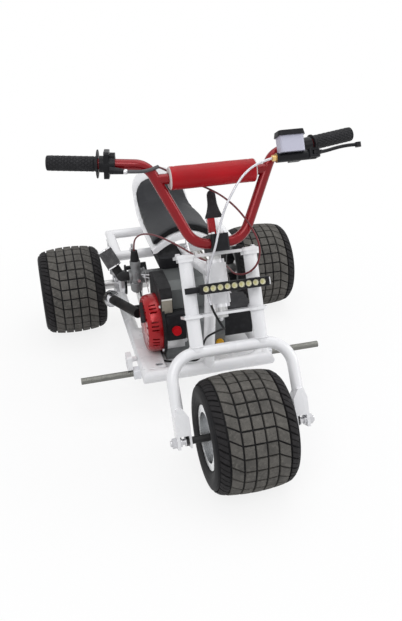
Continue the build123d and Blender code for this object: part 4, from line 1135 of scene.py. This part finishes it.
def rear_rim_finish():
    f = black_metal("rear_rim_metal", (0.030, 0.030, 0.033), 0.36)
    f.mottle((0.10, 0.020, 0.018), 30, 0.56, 0.72, 0.5)
    return f


def master_finish():
    f = black_metal("master_cylinder_metal", (0.010, 0.010, 0.012), 0.32)
    f.zone(f.box((148, -136, 200), (209, -96, 236), steering), (0.52, 0.52, 0.62), 0.34)
    f.zone(f.box((131, -122, 182), (142, -101, 202), steering), (0.72, 0.50, 0.20), 0.28, 1.0)
    return f


def silencer_finish():
    f = black_metal("silencer_metal", (0.009, 0.009, 0.010), 0.46)
    f.mottle((0.03, 0.022, 0.018), 30, 0.5, 0.7, 0.5)
    f.zone(f.box((None, 246, None), (None, None, None)), (0.80, 0.80, 0.82), 0.12, 1.0)
    return f


def switch_finish():
    f = black_metal("switch_box_metal", (0.011, 0.011, 0.013), 0.5)
    f.zone(f.box((-91, -98, 215), (-63, -81.2, 243)), (0.48, 0.006, 0.012), 0.38)
    return f


def peg_finish():
    f = bright_metal("peg_metal", (0.20, 0.20, 0.185), 0.42)
    far = f.math("ABSOLUTE", f.axes(f.coords)[0])
    f.bump(f.cells(260), 0.0010, 0.9)
    f.zone(f.ramp(far, 0.1995, 0.1985), (0.80, 0.81, 0.84), 0.26)
    return f


def shroud_finish():
    f = black_metal("shroud_metal", (0.010, 0.010, 0.011), 0.42)
    f.zone(f.box((-79.5, None, None), (None, None, None)), (0.115, 0.122, 0.122), 0.45, 0.3)
    f.grain(500, 0.0003)
    return f


finish_node(shroud_finish(), "fan_shroud")
finish_node(axle_finish(), "front_axle")
finish_node(front_rim_finish(), "front_rim")
finish_node(rear_rim_finish(), "rear_rim_left", "rear_rim_right")
finish_node(master_finish(), "master_cylinder")
finish_node(silencer_finish(), "silencer")
finish_node(switch_finish(), "switch_box")
finish_node(peg_finish(), "foot_peg_left", "foot_peg_right")


def sheath(name, color, rough):
    f = Finish(name, color, rough)
    f.mottle(times(color, 0.6), 70, strength=0.7)
    f.grain(1800, 0.00008)
    return f


def hose_finish():
    f = Finish("clear_hose", (0.66, 0.66, 0.70), 0.18, metal=0.35, coat=0.8)
    f.mottle((0.40, 0.40, 0.43), 60, strength=0.6)
    f.bump(f.cells(1500), 0.0003, 0.6)
    return f


# ---------------------------------------------------------------- cables
# Route points, in mm. throttle_frame and hose_lower are in the CAD frame, the others in the steering frame.
throttle_upper = [(-197.4, -90.2, 198.8), (-170, -97, 194), (-143, -101, 194), (-121, -85, 203),
                  (-103, -54, 201), (-73, -43, 185), (-40, -40, 167), (-8, -44, 151), (20, -58, 129),
                  (43, -71, 102), (61, -79, 73), (76, -81, 44), (87, -79, 16), (90, -74, -10), (85, -66, -33),
                  (71, -57, -50), (53, -47, -57), (38, -30, -54), (34, -12, -47)]
throttle_lower = [(33, 25, -31), (10, 45, -22)]
throttle_frame = [(-18, -136, 451), (-38, -94, 455), (-58, -50, 458), (-79, -2, 458), (-99, 42, 455),
                  (-118, 82, 446), (-134, 116, 429), (-144, 140, 402), (-144, 140, 375.3)]
hose_upper = [(132.2, -112, 192), (112, -113, 188), (86, -115, 179), (62, -115, 163), (44, -112, 143),
              (29, -107, 121), (14, -99, 96), (3, -91, 68), (-8, -88, 38), (-17, -84.5, 10), (-26, -68, -16),
              (-33, -54, -42), (-38, -46, -70), (-38, -45, -98), (-34, -49, -124), (-25, -50, -148),
              (-13, -38, -168), (-4, -20, -178)]
hose_lower = [(0, -268.5, 323.2), (-3, -250, 311), (-8, -225, 292), (-15, -198, 270), (-19, -172, 248),
              (-20.5, -151, 222), (-20.5, -137, 194), (-22, -130, 168), (-34, -119, 148), (-53, -103, 142),
              (-77, -86, 134), (-102, -72, 129), (-124, -50, 127), (-133, -20, 126), (-134, 13, 126.2),
              (-133, 46, 127), (-131, 79, 129), (-128, 111, 134), (-126, 142, 142), (-123, 172, 152),
              (-121, 202, 162), (-119, 232, 171), (-117, 261, 180), (-115, 289, 188), (-113, 316, 194),
              (-113, 343.1, 197)]
add_cable("throttle_cable", sheath("cable_dark_red", (0.13, 0.006, 0.012), 0.34), 0.0023,
          [local(*p) for p in throttle_upper + throttle_lower] + [mm(*p) for p in throttle_frame],
          local(22, -12, -34), local(22, 45, -34), "throttle_cable_upper", "throttle_cable_lower")
hose = add_cable("brake_hose", hose_finish(), 0.00275,
                 [local(*p) for p in hose_upper] + [mm(*p) for p in hose_lower],
                 local(-4, -20, -178), mm(-3, -250, 311), "brake_hose_upper", "brake_hose_lower")
hose_black_below = 0.405      # set per face: faces whose centre lies lower than this, in metres, get the black rubber
hose.data.materials.append(rubber.mat)
for face in hose.data.polygons:
    face.material_index = int(face.center.z < hose_black_below)


# ---------------------------------------------------------------- pieces
add_tyre("front_tyre", "front_wheel", front_hub, 3)
for name, side, seed in (("rear_tyre_right", -1, 5), ("rear_tyre_left", 1, 7)):
    add_tyre(name, "rear_axle", (side * rear_wheel_x * MM, axle_reach * MM, axle_height * MM), seed)


add_seat(white, seat_vinyl())
add_bar_pad(pad_cloth(0.100))
add_grip("grip_right", 0.031, 0.0026, -1, grip_rubber)
add_grip("grip_left", 0.020, 0.0030, 1, grip_rubber)
add_recoil(recoil_red)
add_recoil_screen(dark)
add_cylinder(engine_alloy)
pleat_grey = Finish("filter_pleat", (0.10, 0.10, 0.105), 0.6, spec=0.2)
pleat_grey.mottle((0.19, 0.19, 0.19), 60, strength=0.6)
pleat_grey.grain(900, 0.0003)
add_filter(pleat_grey, chrome)
lamp_black = black_metal("lamp_black", (0.012, 0.012, 0.014), 0.4)
cup = bright_metal("lamp_reflector", (0.80, 0.78, 0.62), 0.34)
cup.put("Metallic", 0.35)
chip = Finish("lamp_chip", (0.70, 0.66, 0.30), 0.4)
chip.grain(900, 0.0001)
add_light_bar(lamp_black, cup, chip)
paddle = black_metal("paddle_black", (0.022, 0.022, 0.024), 0.42)
add_upright_lever(paddle, red_paint("block_red", (0.36, 0.006, 0.012)))


# ---------------------------------------------------------------- trim
def add_bolts():
    """Hexagon heads and nuts, joined per body."""

    def steering_bolts(bm):
        up, forward = steer_z, -steer_y
        for x in (-14, 14):
            for y in (-71, -43):
                socket_screw(bm, local(x, y, 43), up, 8, 4.5)
        for s in (-1, 1):
            bolt(bm, local(s * 91, -14, 3.6), up, 10, 5)
            bolt(bm, local(s * fork_tube_x, -36, -71.5), forward, 7, 3)
        turned(bm, [(0, 0.0150), (0.004, 0.0150), (0.0055, 0.0135)], facing(local(0, 0, 24), up), 6)
        for x in (-66, 66):
            bolt(bm, local(x, -18, -136), up, 10, 5, stud=3)

    solid("steering_bolts", zinc, "steering", steering_bolts)

    def frame_bolts(bm):
        for x in (-118, -60, 60, 118):
            for y in (-62, 72):
                bolt(bm, mm(x, y, 122), (0, 0, 1), 10, 5, stud=2)
        for y, z in ((84, 384), (101, 387)):
            bolt(bm, mm(-2, y, z), (-1, 0, 0), 10, 5)
        for side in (-1, 1):
            for y, z in ((399, 169), (399, 111), (459, 169), (459, 111)):
                bolt(bm, mm(side * 169.2, y, z), (side, 0, 0), 10, 5, stud=3)
        bolt(bm, mm(-133, 264, 324), (0, 0, 1), 12, 7, stud=12)
        for y, z in ((-50, 130), (40, 130), (-50, 240), (40, 240)):
            bolt(bm, mm(145, y * 0.8, z if z > 200 else 172), (1, 0, 0), 8, 4)

    solid("frame_bolts", zinc, "frame", frame_bolts)

    def engine_bolts(bm):
        for a in (35, 125, 215, 305):
            bolt(bm, mm(-112.1, 0, crank_height) + spoke(math.radians(a)) * 0.086, (-1, 0, 0), 7, 3, washer=1)
        for x, z in ((-40, 132), (20, 132), (-40, 236), (52, 232), (-50, 184)):
            bolt(bm, mm(x, -62, z), (0, -1, 0), 8, 4)

    solid("engine_bolts", zinc, "frame", engine_bolts)

    def wheel_nuts(bm):
        for n in range(4):
            out = spoke(TAU * n / 4 + 0.5) * 0.036
            for side in (-1, 1):
                bolt(bm, mm(side * 319.2, axle_reach, axle_height) + out, (side, 0, 0), 12, 8, stud=5)
        for side in (-1, 1):
            turned(bm, [(0, 0.022), (0.004, 0.022), (0.005, 0.020)],
                   facing(mm(side * 350, axle_reach, axle_height), (side, 0, 0)), 6)

    solid("rear_wheel_nuts", zinc, "rear_axle", wheel_nuts)

    def front_wheel_bolts(bm):
        for n in range(6):
            out = spoke(TAU * n / 6) * 0.031
            for side in (-1, 1):
                bolt(bm, mm(side * 3, -axle_reach, axle_height) + out, (side, 0, 0), 9, 5)
        valve = facing(mm(-44, -axle_reach, 86.5), (-0.6, 0, 1))
        turned(bm, [(0, 0.0040), (0.010, 0.0034), (0.016, 0.0034)], valve, 12)

    solid("front_wheel_bolts", zinc, "front_wheel", front_wheel_bolts)


def weld_bead(bm, centre, normal, radius, seed, thick=0.0015):
    """A ring of small overlapping ripples where two tubes meet."""
    matrix = facing(centre, normal)
    rng = random.Random(seed)
    major, minor = 96, 8
    rings = []
    for n in range(major):
        a = TAU * n / major
        lump = thick * (1 + 0.28 * math.sin(a * major / 3.4) + rng.uniform(-0.08, 0.08))
        section = Matrix.Rotation(a, 4, "Z")
        rings.append([bm.verts.new(matrix @ section @ Vector((radius + lump * math.cos(TAU * k / minor), 0,
                                                              lump * math.sin(TAU * k / minor))))
                      for k in range(minor)])
    skin(bm, rings, closed=True)


def add_welds():
    def steering_welds(bm):
        for s in (-1, 1):
            weld_bead(bm, local(s * fork_tube_x, -30, -4.2), steer_z, 0.0164, 10 + s)
            weld_bead(bm, local(s * fork_tube_x, -30, 3.9), steer_z, 0.0162, 20 + s, 0.0016)
            for z in (-142.4, -135.7):
                weld_bead(bm, local(s * fork_tube_x, -30, z), steer_z, 0.0164, 30 + s + int(z), 0.0018)
            weld_bead(bm, local(s * fork_tube_x, -30, -209), steer_z, 0.0166, 40 + s)

    solid("steering_welds", white, "steering", steering_welds, angle=80)

    def frame_welds(bm):
        for s in (-1, 1):
            weld_bead(bm, mm(s * 177, axle_reach, 296.5), (0, 0, 1), 0.0122, 50 + s)
            for y in (264, 439):
                weld_bead(bm, mm(s * 60, y, 323.5), (0, 0, 1), 0.0084, 60 + s + y, 0.0018)
        weld_bead(bm, mm(0, -112, 137), (0, 0.2, 1), 0.0154, 71)

    solid("frame_welds", white, "frame", frame_welds, angle=80)


def add_labels():
    """Blank plates where the real engine has its labels."""
    silver = bright_metal("label_silver", (0.72, 0.72, 0.73), 0.34)
    cream = Finish("label_cream", (0.30, 0.27, 0.22), 0.5)
    cream.mottle((0.20, 0.17, 0.14), 60, strength=0.6)
    cream.zone(cream.box((None, None, 311), (None, None, None)), (0.78, 0.76, 0.72), 0.5)
    for name, finish, size, place in (("label_lower", silver, (0.052, 0.0010, 0.031), (-78, -62.5, 180)),
                                      ("label_upper", cream, (0.028, 0.0008, 0.048), (-96, -62.6, 291))):
        slab_piece(name, finish, "frame", size, Matrix.Translation(mm(*place)), 0.0003)


def add_handle():
    """Recoil handle."""
    slab_piece("recoil_handle", dark_plastic, "frame", (0.013, 0.011, 0.062),
               facing(mm(-156, -18, 262), (0.10, 0.86, 0.50)), 0.0035)


def add_carburettor(metal, bright):
    """Slide carburettor: capped chamber, waisted body with bosses, float bowl and flanged throat."""
    x, y = carburettor_x, carburettor_y

    def body(bm):
        up = facing(mm(x, y, 246), (0, 0, 1))
        turned(bm, [(0, 0.007), (0.003, 0.0125), (0.008, 0.0165), (0.026, 0.0180), (0.0275, 0.0190),
                    (0.034, 0.0190), (0.0355, 0.0150), (0.041, 0.0150), (0.044, 0.0172), (0.066, 0.0165),
                    (0.074, 0.0132), (0.082, 0.0130), (0.083, 0.0150), (0.097, 0.0150), (0.099, 0.0138)],
               up, 40)
        turned(bm, [(0, 0.0050), (0.0035, 0.0050)], facing(mm(x, y, 243.5), (0, 0, 1)), 6)
        for s in (-1, 1):
            slab(bm, (0.007, 0.012, 0.036), Matrix.Translation(mm(x + s * 16.5, y, 300)), 0.002)
            slab(bm, (0.012, 0.006, 0.026), Matrix.Translation(mm(x, y + s * 16.8, 302)), 0.002)
        throat = facing(mm(-164, y, 299), (1, 0, 0))
        turned(bm, [(0, 0.0140), (0.004, 0.0150), (0.006, 0.0150), (0.012, 0.0125), (0.104, 0.0115),
                    (0.1108, 0.0115)], throat, 32)
        slab(bm, (0.006, 0.046, 0.026), Matrix.Translation(mm(-118, y, 299)), 0.003)
        slab(bm, (0.006, 0.050, 0.030), Matrix.Translation(mm(-60, y, 299)), 0.003)

    solid("carburettor_body", metal, "frame", body, "carburettor")

    def fittings(bm):
        for a in (45, 135, 225, 315):
            turn = math.radians(a)
            place = mm(x + 16.2 * math.cos(turn), y + 16.2 * math.sin(turn), 280)
            socket_screw(bm, place, (0, 0, 1), 4.4, 2.6)
        turned(bm, [(0, 0.0034), (0.010, 0.0034), (0.0105, 0.0045), (0.0135, 0.0045)],
               facing(mm(x + 4, y - 18, 293), (0, -1, 0.1)), 12)
        for dy in (-17, 17):
            bolt(bm, mm(-121, y + dy, 299), (-1, 0, 0), 7, 3, washer=1)
        rods = ((0.0012, 0.048, (-131, 124, 306), (1, -0.5, 0.05)),
                (0.0010, 0.050, (-128, 122, 300), (1, -0.6, -0.1)),
                (0.0013, 0.046, (-122, 118, 300), (0.15, -0.3, -1)))
        for r, length, place, direction in rods:
            turned(bm, [(0, r), (length, r)], facing(mm(*place), direction), 10)

    solid("carburettor_fittings", bright, "frame", fittings)


def add_bar_fittings(black, bright, sleeve):
    """Ferrule and thick sleeve where the throttle cable leaves the twist grip, and the left lever's perch."""
    sleeve_route = [local(*p) for p in throttle_upper[:4]]
    out = sleeve_route[1] - sleeve_route[0]
    solid("cable_ferrule", bright, "steering",
          lambda bm: turned(bm, [(0, 0.0046), (0.002, 0.0056), (0.007, 0.0056), (0.009, 0.0046)],
                            facing(sleeve_route[0] - out.normalized() * 0.001, out), 20))
    cable_tube("cable_sleeve", sleeve, 0.0040, sleeve_route)
    middle, axis, spread = tube_axis("grip_left")
    inner = middle + axis * spread.min()
    solid("lever_perch", black, "steering",
          lambda bm: turned(bm, [(0.0006, 0.0130), (0.0006, 0.0160), (0.026, 0.0168), (0.027, 0.0130)],
                            facing(inner, -axis), 32))


def add_frame_plates():
    """Square welded corners of the lower frame, and the plate beside the engine on the right."""
    rail, rail_x, rail_y, rail_z = 18.2, 164.8, -113.0, 118.0

    def corners(bm):
        for s in (-1, 1):
            rings = [[], [], []]
            for n in range(40):
                c = rail * math.cos(TAU * n / 40)
                z = rail_z + rail * math.sin(TAU * n / 40)
                places = ((104, rail_y - c), (rail_x + c, rail_y - c), (rail_x + c, -52))
                for corner_ring, (x, y) in zip(rings, places):
                    corner_ring.append(bm.verts.new(mm(s * x, y, z)))
            capped(bm, rings)

    solid("frame_corners", white, "frame", corners, angle=30)

    def plate(bm):
        slab(bm, (0.062, 0.222, 0.003), Matrix.Translation(mm(-146, 10, 134.6)), 0.0008)

    def hole(bm):
        slab(bm, (0.020, 0.013, 0.02), Matrix.Translation(mm(-131, -88, 134.6)), 0.006)

    carved("side_plate", plate, hole, white, "frame")


add_carburettor(carb_alloy, zinc)
add_bar_fittings(clamp_black, zinc, sheath("sleeve_grey", (0.055, 0.055, 0.06), 0.5))
add_frame_plates()
add_bolts()
add_welds()
add_labels()

add_handle()


# ---------------------------------------------------------------- stage
add_camera()
add_world()
add_floor()
add_area("key", (-1.6, -2.6, 3.4), (0, 0, 0.3), (2.2, 2.2), 50)
add_area("top", (0.6, 0.4, 3.6), (0, 0, 0.2), (3.0, 3.0), 46)
add_area("side", (2.8, -1.0, 1.6), (0, 0, 0.3), (1.6, 1.6), 22)
bpy.context.scene.view_settings.view_transform = "Standard"
